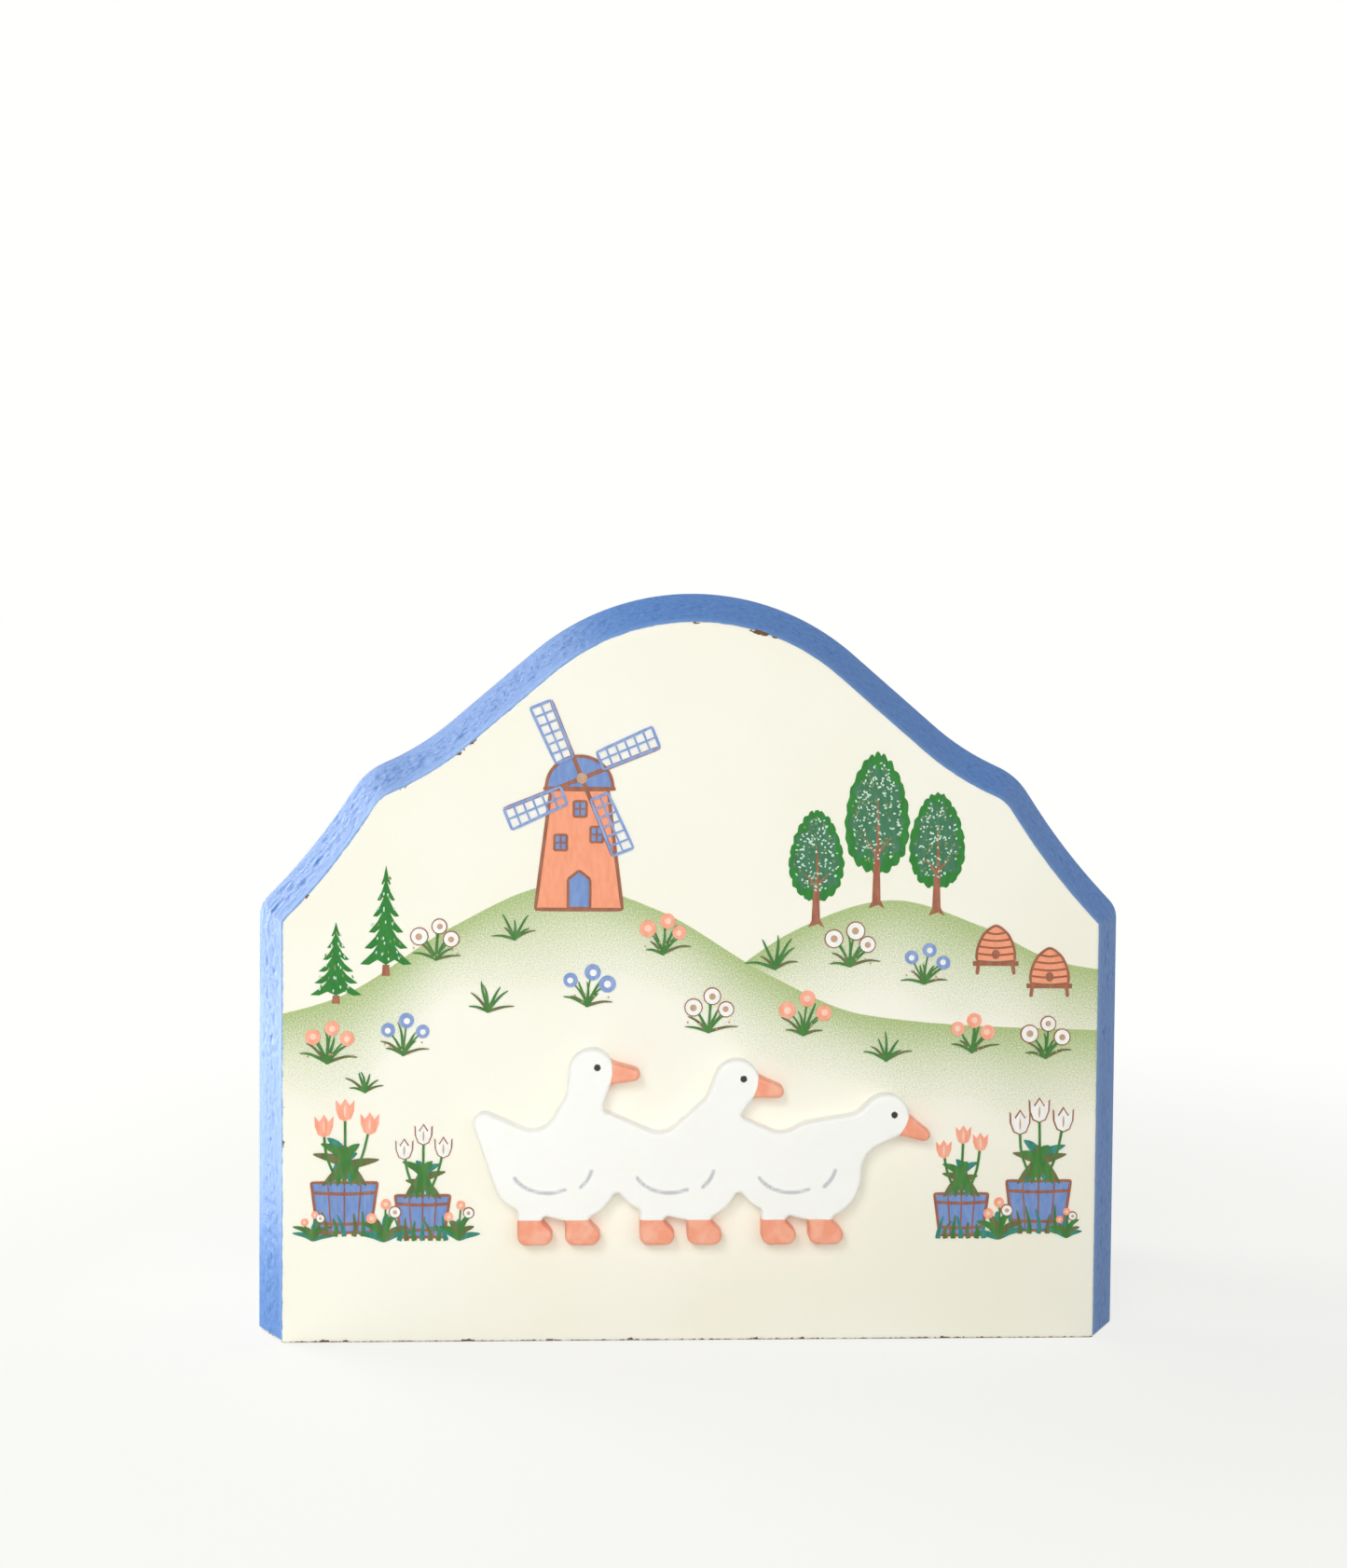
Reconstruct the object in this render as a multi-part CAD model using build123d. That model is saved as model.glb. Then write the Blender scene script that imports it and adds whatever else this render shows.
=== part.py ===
"""Painted napkin holder: two shaped panels on a base board, with a flat cut-out of geese in front."""

import math
import os

from build123d import *

# Panel outline, millimetres, seen from the front. Each point is a step in and a rise from the one below it.
PANEL_WIDTH = 152.0
SIDE_HEIGHT = 75.0
FLANK_STEP = 9.5
FLANK_RISE = 10.1
SHOULDER_STEP = 8.9
SHOULDER_RISE = 13.4
NECK_STEP = 10.1
NECK_RISE = 4.7
CROWN_SLOPE = 40.6
FLANK_RADIUS = 110.0
SHOULDER_RADIUS = 12.0
NECK_RADIUS = 45.0
CROWN_RADIUS = 43.3

# Panel section. The bevel runs along the sides and the top, and leaves a narrow square land behind it.
PANEL_THICKNESS = 9.0
BEVEL_INSET = 5.4
BEVEL_LAND = 0.8
CORNER_ROUND = 2.0

# Base board between the panels. Its thickness is the floor of the slot.
SLOT_DEPTH = 45.0
BASE_THICKNESS = 12.0
BASE_SETBACK = 3.0
BASE_END_ROUND = 1.5

# Glued dowels, the outer ones set in from the base's ends. A web stays solid in the base between opposite
# holes, and a cover in front of each panel hole.
DOWEL_DIAMETER = 6.0
DOWEL_INSET = 23.0
DOWEL_COVER = 4.0
DOWEL_WEB = 15.0
DOWEL_CHAMFER = 0.8
GLUE_GAP = 0.05
END_GAP = 0.4

# Geese, cut from one thin board. Each is drawn from round forms, walking towards +X on the geese's floor.
GEESE_THICKNESS = 3.0
GEESE_FLOOR = 17.5
GEESE_SHIFT = -3.5
GEESE_ARRIS = 0.4
TAIL_OVERLAP = 4.0
BODY_LENGTH = 7.0
BODY_HEIGHT = 12.4
BREAST_RADIUS = 8.2
RUMP_RADIUS = 6.6
TAIL_REACH = 7.9
TAIL_RISE = 8.6
TAIL_RADIUS = 1.9
NECK_ROOT_RADIUS = 6.2
NECK_ROOT_RISE = 2.8
THROAT_RADIUS = 3.2
HEAD_RADIUS = 3.9
BEAK_LENGTH = 7.2
BEAK_ROOT_RADIUS = 2.6
BEAK_TIP_RADIUS = 1.1
LEG_RADIUS = 1.6
ANKLE_RISE = 4.3
FOOT_LENGTH = 2.8
FOOT_RADIUS = 1.6
FOOT_GAP = 2.2
NAPE_SWEEP = 4.0
SAW_RADIUS = 0.7

# Throat and head of each goose, from its breast, and how far its beak dips. The first goose walks last.
THROAT_REACH = (2.2, 5.0, 8.6)
THROAT_RISE = (12.4, 11.2, 7.2)
HEAD_REACH = (3.4, 7.4, 12.4)
HEAD_RISE = (17.6, 15.8, 9.8)
BEAK_DIP = (4.0, 13.0, 26.0)

# Share of a straight run that the fillets at its two ends may take, and the tolerance for picking edges.
RUN_SHARE = 0.95
TINY = 0.01

# Places and lengths that follow from the sizes above. The slot's middle is the part's middle.
INNER_FACE = SLOT_DEPTH / 2
OUTER_FACE = INNER_FACE + PANEL_THICKNESS
BASE_LENGTH = PANEL_WIDTH - 2 * BASE_SETBACK
PANEL_HOLE_DEPTH = PANEL_THICKNESS - DOWEL_COVER
BASE_HOLE_DEPTH = (SLOT_DEPTH - DOWEL_WEB) / 2
DOWEL_LENGTH = PANEL_HOLE_DEPTH + BASE_HOLE_DEPTH - 2 * END_GAP
DOWEL_LEVEL = BASE_THICKNESS / 2
DOWEL_REACH = BASE_LENGTH / 2 - DOWEL_INSET
DOWEL_PLACES = {"left": -DOWEL_REACH, "middle": 0.0, "right": DOWEL_REACH}


def corner_reaches(points, radii):
    """How far along its two runs each rounded corner reaches. The ends of the line have none."""
    reaches = [0.0]
    for i, radius in enumerate(radii):
        before, corner, after = (Vector(*point) for point in points[i : i + 3])
        turn = (corner - before).get_angle(after - corner)
        reaches.append(radius * math.tan(math.radians(turn) / 2))
    return reaches + [0.0]


def fitted_radii(points, radii):
    """The radii, made smaller where a run is too short for them and for a sharp corner's bevel."""
    reaches = corner_reaches(points, radii)
    mitres = corner_reaches(points, [0.0 if radius else BEVEL_INSET for radius in radii])
    fits = [1.0] * len(points)
    for i, (start, end) in enumerate(zip(points, points[1:])):
        needed = reaches[i] + reaches[i + 1]
        room = RUN_SHARE * math.dist(start, end) - mitres[i] - mitres[i + 1]
        if needed > room:
            fits[i] = min(fits[i], room / needed)
            fits[i + 1] = min(fits[i + 1], room / needed)
    return [radius * fit for radius, fit in zip(radii, fits[1:-1])]


def panel_outline():
    """Closed outline of a panel: straight sides, scooped flanks, rounded shoulders and a domed crown."""
    steps = [0.0, FLANK_STEP, SHOULDER_STEP, NECK_STEP]
    rises = [SIDE_HEIGHT, FLANK_RISE, SHOULDER_RISE, NECK_RISE]
    right = [(PANEL_WIDTH / 2, 0.0)]
    for step, rise in zip(steps, rises):
        x, z = right[-1]
        right.append((x - step, z + rise))
    neck_x, neck_z = right[-1]
    peak = (0.0, neck_z + neck_x * math.tan(math.radians(CROWN_SLOPE)))
    left = [(-x, z) for x, z in reversed(right)]
    points = right + [peak] + left
    one_side = [0.0, FLANK_RADIUS, SHOULDER_RADIUS, NECK_RADIUS]
    radii = one_side + [CROWN_RADIUS] + one_side[::-1]
    line = FilletPolyline(*points, radius=fitted_radii(points, radii))
    foot = Line(left[-1], right[0])
    return Plane.XZ * make_face(line.edges() + foot.edges())


def dowel_hole(x, y, depth):
    """Round cutter for a blind hole at the dowels' level, centred on a plane across Y."""
    place = Pos(x, y, DOWEL_LEVEL) * Rot(90, 0, 0)
    return place * Cylinder(DOWEL_DIAMETER / 2 + GLUE_GAP, 2 * depth)


def front_panel():
    """Shaped board with a bevel on its sides and top, and blind dowel holes on its inner face."""
    board = Pos(0, -INNER_FACE, 0) * extrude(panel_outline(), PANEL_THICKNESS)
    face = board.faces().sort_by(Axis.Y)[0]
    rim = face.edges().sort_by(Axis.Z)[1:]
    bevel_depth = PANEL_THICKNESS - BEVEL_LAND
    board = chamfer(rim, BEVEL_INSET, bevel_depth, reference=face)
    board = fillet(corner_ridges(board), CORNER_ROUND)
    for x in DOWEL_PLACES.values():
        board -= dowel_hole(x, -INNER_FACE, PANEL_HOLE_DEPTH)
    return board


def corner_ridges(board):
    """The sharp edges that run from front to back at the two corners above the straight sides."""
    near = board.edges().filter_by_position(Axis.Z, SIDE_HEIGHT - BEVEL_INSET, SIDE_HEIGHT)
    boxes = [(edge, edge.bounding_box()) for edge in near]
    return [edge for edge, box in boxes if box.size.Y > TINY and box.max.Z < SIDE_HEIGHT + TINY]


def base_board():
    """Board between the panels, with rounded upper ends and dowel holes in both long edges."""
    board = Pos(0, 0, BASE_THICKNESS / 2) * Box(BASE_LENGTH, SLOT_DEPTH, BASE_THICKNESS)
    ends = board.edges().filter_by(Axis.Y).group_by(Axis.Z)[-1]
    board = fillet(ends, min(BASE_END_ROUND, BASE_THICKNESS / 3))
    for side in (-1, 1):
        for x in DOWEL_PLACES.values():
            board -= dowel_hole(x, side * INNER_FACE, BASE_HOLE_DEPTH)
    return board


def dowel(x, side):
    """Round dowel with chamfered ends, shared between a panel and the base."""
    peg = Cylinder(DOWEL_DIAMETER / 2, DOWEL_LENGTH)
    rims = peg.edges().filter_by(GeomType.CIRCLE)
    peg = chamfer(rims, min(DOWEL_CHAMFER, DOWEL_DIAMETER / 6))
    middle = INNER_FACE + (PANEL_HOLE_DEPTH - BASE_HOLE_DEPTH) / 2
    return Pos(x, side * middle, DOWEL_LEVEL) * Rot(90, 0, 0) * peg


def tapered_round(start, end):
    """Flat outline wrapped round two circles, each given as x, z and radius."""
    x0, z0, r0 = start
    x1, z1, r1 = end
    heading = math.atan2(z1 - z0, x1 - x0)
    lean = math.acos((r0 - r1) / math.hypot(x1 - x0, z1 - z0))

    def on_start(angle):
        return (x0 + r0 * math.cos(angle), z0 + r0 * math.sin(angle))

    def on_end(angle):
        return (x1 + r1 * math.cos(angle), z1 + r1 * math.sin(angle))

    upper = heading + lean
    lower = heading - lean
    edges = [
        ThreePointArc(on_start(upper), on_start(heading + math.pi), on_start(lower)),
        Line(on_start(lower), on_end(lower)),
        ThreePointArc(on_end(lower), on_end(heading), on_end(upper)),
        Line(on_end(upper), on_start(upper)),
    ]
    return make_face(edges)


def round_inside(outline, radius):
    """Round the inner corners of a flat outline and leave its outer corners as they are."""
    return offset(offset(outline, radius), -radius)


def goose(x, pose):
    """Side outline of one goose, standing at x, with the neck of its pose."""
    breast = (x + BODY_LENGTH / 2, BODY_HEIGHT)
    rump = (x - BODY_LENGTH / 2, BODY_HEIGHT)
    tail = (rump[0] - TAIL_REACH, rump[1] + TAIL_RISE)
    root = (breast[0], breast[1] + NECK_ROOT_RISE)
    throat = (breast[0] + THROAT_REACH[pose], breast[1] + THROAT_RISE[pose])
    head = (breast[0] + HEAD_REACH[pose], breast[1] + HEAD_RISE[pose])
    dip = math.radians(BEAK_DIP[pose])
    beak = (head[0] + BEAK_LENGTH * math.cos(dip), head[1] - BEAK_LENGTH * math.sin(dip))
    outline = tapered_round((*breast, BREAST_RADIUS), (*rump, RUMP_RADIUS))
    outline += tapered_round((*rump, RUMP_RADIUS), (*tail, TAIL_RADIUS))
    outline += tapered_round((*root, NECK_ROOT_RADIUS), (*throat, THROAT_RADIUS))
    outline += tapered_round((*head, HEAD_RADIUS), (*throat, THROAT_RADIUS))
    outline = round_inside(outline, NAPE_SWEEP)
    outline += tapered_round((*head, BEAK_ROOT_RADIUS), (*beak, BEAK_TIP_RADIUS))
    stride = FOOT_LENGTH + 2 * FOOT_RADIUS + FOOT_GAP
    for hip in (x - stride / 2, x + stride / 2):
        heel = (hip, FOOT_RADIUS)
        toe = (hip + FOOT_LENGTH, FOOT_RADIUS)
        outline += tapered_round((hip, BODY_HEIGHT, LEG_RADIUS), (*heel, min(LEG_RADIUS, FOOT_RADIUS)))
        outline += tapered_round((*heel, FOOT_RADIUS), (*toe, FOOT_RADIUS))
        outline += tapered_round((hip, ANKLE_RISE, LEG_RADIUS), (*toe, FOOT_RADIUS))
    return outline


def geese_cutout():
    """Three geese in file, cut as one flat piece with a rounded front arris, on the front panel's face."""
    front_reach = BODY_LENGTH / 2 + BREAST_RADIUS
    tail_reach = BODY_LENGTH / 2 + TAIL_REACH + TAIL_RADIUS
    spacing = front_reach + tail_reach - TAIL_OVERLAP
    outline = goose(GEESE_SHIFT - spacing, 0)
    outline += goose(GEESE_SHIFT, 1)
    outline += goose(GEESE_SHIFT + spacing, 2)
    flat = extrude(Plane.XZ * round_inside(outline, SAW_RADIUS), GEESE_THICKNESS)
    face = flat.faces().sort_by(Axis.Y)[0]
    return Pos(0, -OUTER_FACE, GEESE_FLOOR) * fillet(face.edges(), GEESE_ARRIS)


front = front_panel()
nodes = {
    "front_panel": front,
    "back_panel": mirror(front, about=Plane.XZ),
    "base_board": base_board(),
    "geese_cutout": geese_cutout(),
}
for place, x in DOWEL_PLACES.items():
    nodes[f"dowel_front_{place}"] = dowel(x, -1)
    nodes[f"dowel_back_{place}"] = dowel(x, 1)

os.makedirs("parts", exist_ok=True)
for name, shape in nodes.items():
    export_step(shape, f"parts/{name}.step")
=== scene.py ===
"""Dress a painted napkin holder: two shaped MDF panels on a base, a cut-out of geese, a painted meadow.

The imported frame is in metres, +Z up, X to the right, the front panel towards -Y. Sizes here are in
millimetres, and become metres where a mesh, a lamp or a pattern is made.
"""

import logging
import math
import random
from bisect import bisect_left
from dataclasses import dataclass, field
from enum import Enum
from functools import partial
from itertools import accumulate
from typing import Any, Sequence

import bmesh
import bpy
from mathutils import Matrix, Vector, noise
from mathutils.geometry import delaunay_2d_cdt
from mathutils.kdtree import KDTree


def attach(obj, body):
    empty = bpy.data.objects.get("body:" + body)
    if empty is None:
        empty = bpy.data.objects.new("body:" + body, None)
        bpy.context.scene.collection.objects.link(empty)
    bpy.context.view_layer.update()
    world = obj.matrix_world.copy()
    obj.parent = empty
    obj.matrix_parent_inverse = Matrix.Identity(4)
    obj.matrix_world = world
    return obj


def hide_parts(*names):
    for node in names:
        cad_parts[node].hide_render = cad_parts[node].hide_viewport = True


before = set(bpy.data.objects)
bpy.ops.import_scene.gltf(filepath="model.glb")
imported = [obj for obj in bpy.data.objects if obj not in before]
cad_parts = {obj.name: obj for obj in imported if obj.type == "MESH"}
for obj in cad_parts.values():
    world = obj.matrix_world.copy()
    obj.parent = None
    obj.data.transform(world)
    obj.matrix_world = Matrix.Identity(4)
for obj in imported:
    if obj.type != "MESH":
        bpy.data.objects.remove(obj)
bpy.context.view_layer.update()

log = logging.getLogger("napkin_holder")
Point = tuple[float, float]
Range = tuple[float, float]
Place = tuple[float, float, float]
Node = bpy.types.Node
Socket = bpy.types.NodeSocket
Tree = bpy.types.NodeTree
Piece = bpy.types.Object

MM = 0.001
# Out of reach, among the distances that a mesh carries.
FAR = 9.0
# From the middle of the holder to a panel's outer face.
PANEL_FACE = 31.5
# The setting that makes a mix node mix colours.
COLOUR = {"data_type": "RGBA"}


def linear(colour: str) -> tuple[float, float, float, float]:
    """Turn an sRGB hex colour into linear light.

    Args:
        colour: six hex digits, red first.

    Returns:
        Linear red, green and blue, and an alpha of one.
    """
    parts = [int(colour[i : i + 2], 16) / 255 for i in (0, 2, 4)]
    red, green, blue = (c / 12.92 if c <= 0.04045 else ((c + 0.055) / 1.055) ** 2.4 for c in parts)
    return red, green, blue, 1.0


def per_mm(size: float) -> float:
    """Scale of a pattern whose features are this many millimetres across."""
    return 1.0 / (size * MM)


def add_node(tree: Tree, kind: str, feeds: dict | None = None, **settings: Any) -> Node:
    """Add one node with its settings and links.

    Args:
        tree: node tree that takes the node.
        kind: Blender's name of the node's type, without the ShaderNode that it starts with.
        feeds: a value, a socket or a node for each input, by the input's name or its number.
        settings: properties of the node.

    Returns:
        The new node.
    """
    node = tree.nodes.new(f"ShaderNode{kind}")
    for name, value in settings.items():
        setattr(node, name, value)
    usable = [s for s in node.inputs if s.enabled]
    for key, feed in (feeds or {}).items():
        socket = usable[key] if isinstance(key, int) else next(s for s in usable if s.name == key)
        if isinstance(feed, Node):
            feed = next(s for s in feed.outputs if s.enabled)
        if isinstance(feed, Socket):
            tree.links.new(feed, socket)
        else:
            socket.default_value = feed
    return node


def empty_tree(owner: bpy.types.Material | bpy.types.World) -> Tree:
    """Clear the nodes of a material or a world.

    Args:
        owner: the material or the world.

    Returns:
        Its empty node tree.
    """
    owner.use_nodes = True
    owner.node_tree.nodes.clear()
    return owner.node_tree


@dataclass(frozen=True)
class Hill:
    """A hill painted on the front face: points of its crest, and how far its sponged tone reaches down."""

    name: str
    line: tuple[Point, ...]
    seed: float
    reach: float = 23.0
    patch: float = 17.0

    def crest(self, x: float) -> float:
        """Follow the crest on a smooth line through its points.

        Args:
            x: place across the panel.

        Returns:
            The crest's height.
        """
        last = len(self.line) - 1
        i = min(max(bisect_left([p[0] for p in self.line], x), 1), last)
        (x0, z0), (x1, z1) = self.line[i - 1], self.line[i]
        slopes = []
        for k in (i - 1, i):
            (xa, za), (xb, zb) = self.line[max(k - 1, 0)], self.line[min(k + 1, last)]
            slopes.append((zb - za) / (xb - xa))
        t, run = (x - x0) / (x1 - x0), x1 - x0
        ease = t * t * (3 - 2 * t)
        bend = run * ((t**3 - 2 * t * t + t) * slopes[0] + (t**3 - t * t) * slopes[1])
        return z0 + (z1 - z0) * ease + bend

    def tone(self, x: float, depth: float) -> float:
        """Thin the sponged colour out below the crest.

        Args:
            x: place across the panel.
            depth: how far below the crest.

        Returns:
            Density from 0 to 1.
        """
        wave = 0.8 + 0.35 * noise.noise(Vector((x / self.patch, self.seed, 0)))
        return max(0.0, 1 - max(depth, 0) / (self.reach * wave)) ** 1.5


LEFT_CREST = ((-80, 55), (-60, 60.5), (-42, 72), (-24, 79.5), (-6, 75), (12, 64.5), (30, 57), (80, 54))
RIGHT_CREST = ((-80, 48), (-16, 52), (0, 60), (17, 71.5), (34, 77), (50, 72.5), (63, 66.5), (80, 64))
# The left hill lies over the right one.
MEADOW = (Hill("left", LEFT_CREST, 3.1), Hill("right", RIGHT_CREST, 8.7))


class Finish:
    """A surface finish, which makes its material once and then hands it out."""

    name: str

    def shade(self, tree: Tree) -> Node:
        """Lay the finish's nodes in a tree and return its shader node."""
        raise NotImplementedError

    def material(self) -> bpy.types.Material:
        """Make the finish's material at the first call.

        Returns:
            The material.
        """
        made = bpy.data.materials.get(self.name)
        if made is None:
            made = bpy.data.materials.new(self.name)
            tree = empty_tree(made)
            add_node(tree, "OutputMaterial", {"Surface": self.shade(tree)})
        return made


@dataclass(frozen=True)
class CraftAcrylic(Finish):
    """Craft acrylic, put on by hand with a soft brush in one thin coat.

    It gives an even, matt colour, a little thinner along the brush's streaks, with hardly any gloss.
    """

    name: str
    colour: str
    thin: str
    slot: str
    streak: float = 0.9
    streak_lean: float = 0.5
    streak_pull: Place = (1.0, 1.0, 0.3)
    relief: float = 0.02
    roughness: float = 0.55
    ior: float = 1.48

    def shade(self, tree: Tree) -> Node:
        """Lay the coat's streaked colour and its faint brush relief.

        Args:
            tree: the material's node tree.

        Returns:
            The shader node.
        """
        lay = partial(add_node, tree)
        place = lay("TexCoord").outputs["Object"]
        lean = (0.0, self.streak_lean, 0.0)
        drawn = lay("Mapping", {"Vector": place, "Rotation": lean, "Scale": self.streak_pull})
        streaks = lay("TexNoise", {"Vector": drawn, "Scale": per_mm(self.streak), "Detail": 3.0})
        cover = lay("MapRange", {"Value": streaks, "From Min": 0.36, "From Max": 0.62})
        tone = lay("Mix", {"Factor": cover, "A": linear(self.thin), "B": linear(self.colour)}, **COLOUR)
        relief = lay("Bump", {"Height": streaks, "Strength": 0.2, "Distance": self.relief * MM})
        skin = {"Roughness": self.roughness, "IOR": self.ior, "Normal": relief}
        return lay("BsdfPrincipled", {"Base Color": tone, **skin})


@dataclass(frozen=True)
class PaintedBoard(Finish):
    """MDF board under satin paint: cream on the face, blue on the edges, brown and bare where it is chipped.

    The face is smooth with a faint roller stipple. The sawn edge soaks up paint, so its fibres stand up and
    stay visible. The mesh carries, in millimetres, how far each point is inside the blue edge, how far it is
    along the sawn outline, and how far it is from the nearest chip.
    """

    name: str
    hills: tuple[Hill, ...] = ()
    cream: str = "FCFAED"
    cream_aged: str = "F9F6E5"
    blue: str = "5589CE"
    # Darker blue that the shader lays in the fibres' hollows and pits as painted shade.
    blue_hollow_shade: str = "3966AC"
    # Paler blue near the arrises: partly rubbed wear, partly a painted highlight.
    blue_rubbed_and_highlit: str = "80A8DA"
    board: str = "8B6A46"
    board_dark: str = "573F28"
    sage: str = "A6BC76"
    sage_light: str = "BCCD97"
    yellowed_cloud: float = 38.0
    stipple: float = 1.3
    fibre: float = 0.6
    open_fibre: float = 0.5
    fibre_pull: Place = (0.55, 1.8, 1.0)
    border_wobble: float = 1.6
    crumb: float = 0.7
    sponge_grit: float = 0.25
    relief: float = 0.08
    specular: float = 0.38

    def shade(self, tree: Tree) -> Node:
        """Lay both paints and the chips over each other.

        Args:
            tree: the material's node tree.

        Returns:
            The shader node.
        """
        lay = partial(add_node, tree)
        place = lay("TexCoord").outputs["Object"]
        edge, run, chip = (
            lay("Attribute", attribute_name=name).outputs["Fac"] for name in ("edge", "run", "chip")
        )
        # The brushed border between the paints isn't steady, and less so at the left.
        wobble = lay("TexNoise", {"Vector": place, "Scale": per_mm(self.border_wobble), "Detail": 5.0})
        wobble = lay("Math", {0: wobble, 1: 0.5}, operation="SUBTRACT")
        across = lay("SeparateXYZ", {"Vector": place}).outputs["X"]
        ends = {"From Min": -40 * MM, "From Max": 30 * MM, "To Min": 0.45, "To Max": 0.15}
        unsteady = lay("MapRange", {"Value": across, **ends})
        drift = lay("Math", {0: wobble, 1: unsteady}, operation="MULTIPLY")
        inside = lay("Math", {0: edge, 1: drift}, operation="ADD")
        creamed = lay("MapRange", {"Value": inside, "From Min": -0.03, "From Max": 0.05})
        band, fibre = self.blue_edge(tree, edge, run, inside)
        coat = lay("Mix", {"Factor": creamed, "A": band, "B": self.cream_face(tree, place)}, **COLOUR)
        # Bare board: brown fibre in the chips, with a ragged border.
        crumbs = lay("TexNoise", {"Vector": place, "Scale": per_mm(self.crumb), "Detail": 4.0})
        ends = {"From Min": 0.3, "From Max": 0.7, "To Min": -0.2, "To Max": 0.2}
        frayed = lay("MapRange", {"Value": crumbs, **ends})
        bare = lay("Math", {0: chip, 1: frayed}, operation="ADD")
        bare = lay("MapRange", {"Value": bare, "From Min": 0.04, "From Max": -0.04})
        browns = {"A": linear(self.board_dark), "B": linear(self.board)}
        wood = lay("Mix", {"Factor": crumbs, **browns}, **COLOUR)
        colour = lay("Mix", {"Factor": bare, "A": coat, "B": wood}, **COLOUR)
        # Satin on both paints, the blue a little glossier, and none on the bare board.
        gloss = lay("Mix", {"Factor": creamed, "A": 0.4, "B": 0.46})
        gloss = lay("Mix", {"Factor": bare, "A": gloss, "B": 0.9})
        # Relief: standing fibres on the edge, and a roller's stipple of about a millimetre on the face.
        stipple = lay("TexNoise", {"Vector": place, "Scale": per_mm(self.stipple), "Detail": 2.0})
        calm = lay("MapRange", {"Value": stipple, "To Min": 0.44, "To Max": 0.56})
        height = lay("Mix", {"Factor": creamed, "A": fibre, "B": calm})
        relief = lay("Bump", {"Height": height, "Strength": 0.75, "Distance": self.relief * MM})
        skin = {"Roughness": gloss, "Specular IOR Level": self.specular, "Normal": relief}
        return lay("BsdfPrincipled", {"Base Color": colour, **skin})

    def blue_edge(self, tree: Tree, edge: Socket, run: Socket, inside: Node) -> tuple[Node, Node]:
        """Lay fibres along the sawn edge: painted shade darkens their hollows, and the blue is paler near
        each arris.

        The pattern lies on the mesh's own millimetres, so its scales are per millimetre.

        Args:
            tree: the material's node tree.
            edge: how far a point is inside the blue edge.
            run: how far it is along the sawn outline.
            inside: the same as edge, with the unsteady border.

        Returns:
            The nodes of the blue's colour and of the fibres' height.
        """
        lay = partial(add_node, tree)
        along = lay("CombineXYZ", {"X": run, "Y": edge})
        along = lay("VectorMath", {0: along, 1: self.fibre_pull}, operation="MULTIPLY")
        grain = {"Vector": along, "Roughness": 0.6}
        fibre = lay("TexNoise", {**grain, "Scale": 1 / self.fibre, "Detail": 4.0})
        # Painted shade: the blue darkens where the fibre noise, and so the relief, is low.
        hollow = lay("MapRange", {"Value": fibre, "From Min": 0.2, "From Max": 0.56})
        band = lay("Mix", {"Factor": hollow, "A": linear(self.blue_hollow_shade), "B": linear(self.blue)}, **COLOUR)
        # Pits: open fibre along the board's soft middle, away from both arrises, darkened with painted
        # shade.
        inner = lay("MapRange", {"Value": edge, "From Min": -5.2, "From Max": -3.4})
        outer = lay("MapRange", {"Value": edge, "From Min": -0.7, "From Max": -2.2})
        core = lay("Math", {0: inner, 1: outer}, operation="MINIMUM")
        opened = lay("TexNoise", {**grain, "Scale": 1 / self.open_fibre, "Detail": 2.0})
        pits = lay("MapRange", {"Value": opened, "From Min": 0.56, "From Max": 0.8})
        pits = lay("Math", {0: pits, 1: core}, operation="MULTIPLY")
        band = lay("Mix", {"Factor": pits, "A": band, "B": linear(self.blue_hollow_shade)}, **COLOUR)
        # Paler blue near each arris: partly rubbed wear, partly a painted highlight where the rounded arris
        # catches light.
        rubbed_and_highlit = lay("MapRange", {"Value": inside, "From Min": -0.8, "From Max": -0.15, "To Max": 0.55})
        band = lay("Mix", {"Factor": rubbed_and_highlit, "A": band, "B": linear(self.blue_rubbed_and_highlit)}, **COLOUR)
        return band, lay("Math", {0: pits, 1: -2.2, 2: fibre}, operation="MULTIPLY_ADD")

    def cream_face(self, tree: Tree, place: Socket) -> Node:
        """Lay the cream, with large clouds where it has yellowed, and the hills if the face has any.

        Args:
            tree: the material's node tree.
            place: object coordinates.

        Returns:
            The node of the face's colour.
        """
        lay = partial(add_node, tree)
        clouds = lay("TexNoise", {"Vector": place, "Scale": per_mm(self.yellowed_cloud), "Detail": 2.0})
        aged = lay("MapRange", {"Value": clouds, "From Min": 0.42, "From Max": 0.72})
        face = lay("Mix", {"Factor": aged, "A": linear(self.cream), "B": linear(self.cream_aged)}, **COLOUR)
        return self.sponged_hills(tree, place, face) if self.hills else face

    def sponged_hills(self, tree: Tree, place: Socket, face: Node) -> Node:
        """Lay sponged sage hills over the cream, dense at the crests and thinning to dots below.

        Args:
            tree: the material's node tree.
            place: object coordinates.
            face: the cream colour below.

        Returns:
            The node of the mixed colour.
        """
        lay = partial(add_node, tree)
        covers, tones = [], []
        for hill in self.hills:
            crest = lay("Attribute", attribute_name=f"{hill.name}_crest").outputs["Fac"]
            tone = lay("Attribute", attribute_name=f"{hill.name}_tone").outputs["Fac"]
            covers.append(lay("MapRange", {"Value": crest, "From Min": -0.05, "From Max": 0.12}))
            tones.append(lay("Math", {0: covers[-1], 1: tone}, operation="MULTIPLY"))
        dense = lay("Mix", {"Factor": covers[0], "A": tones[1], "B": tones[0]})
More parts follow.
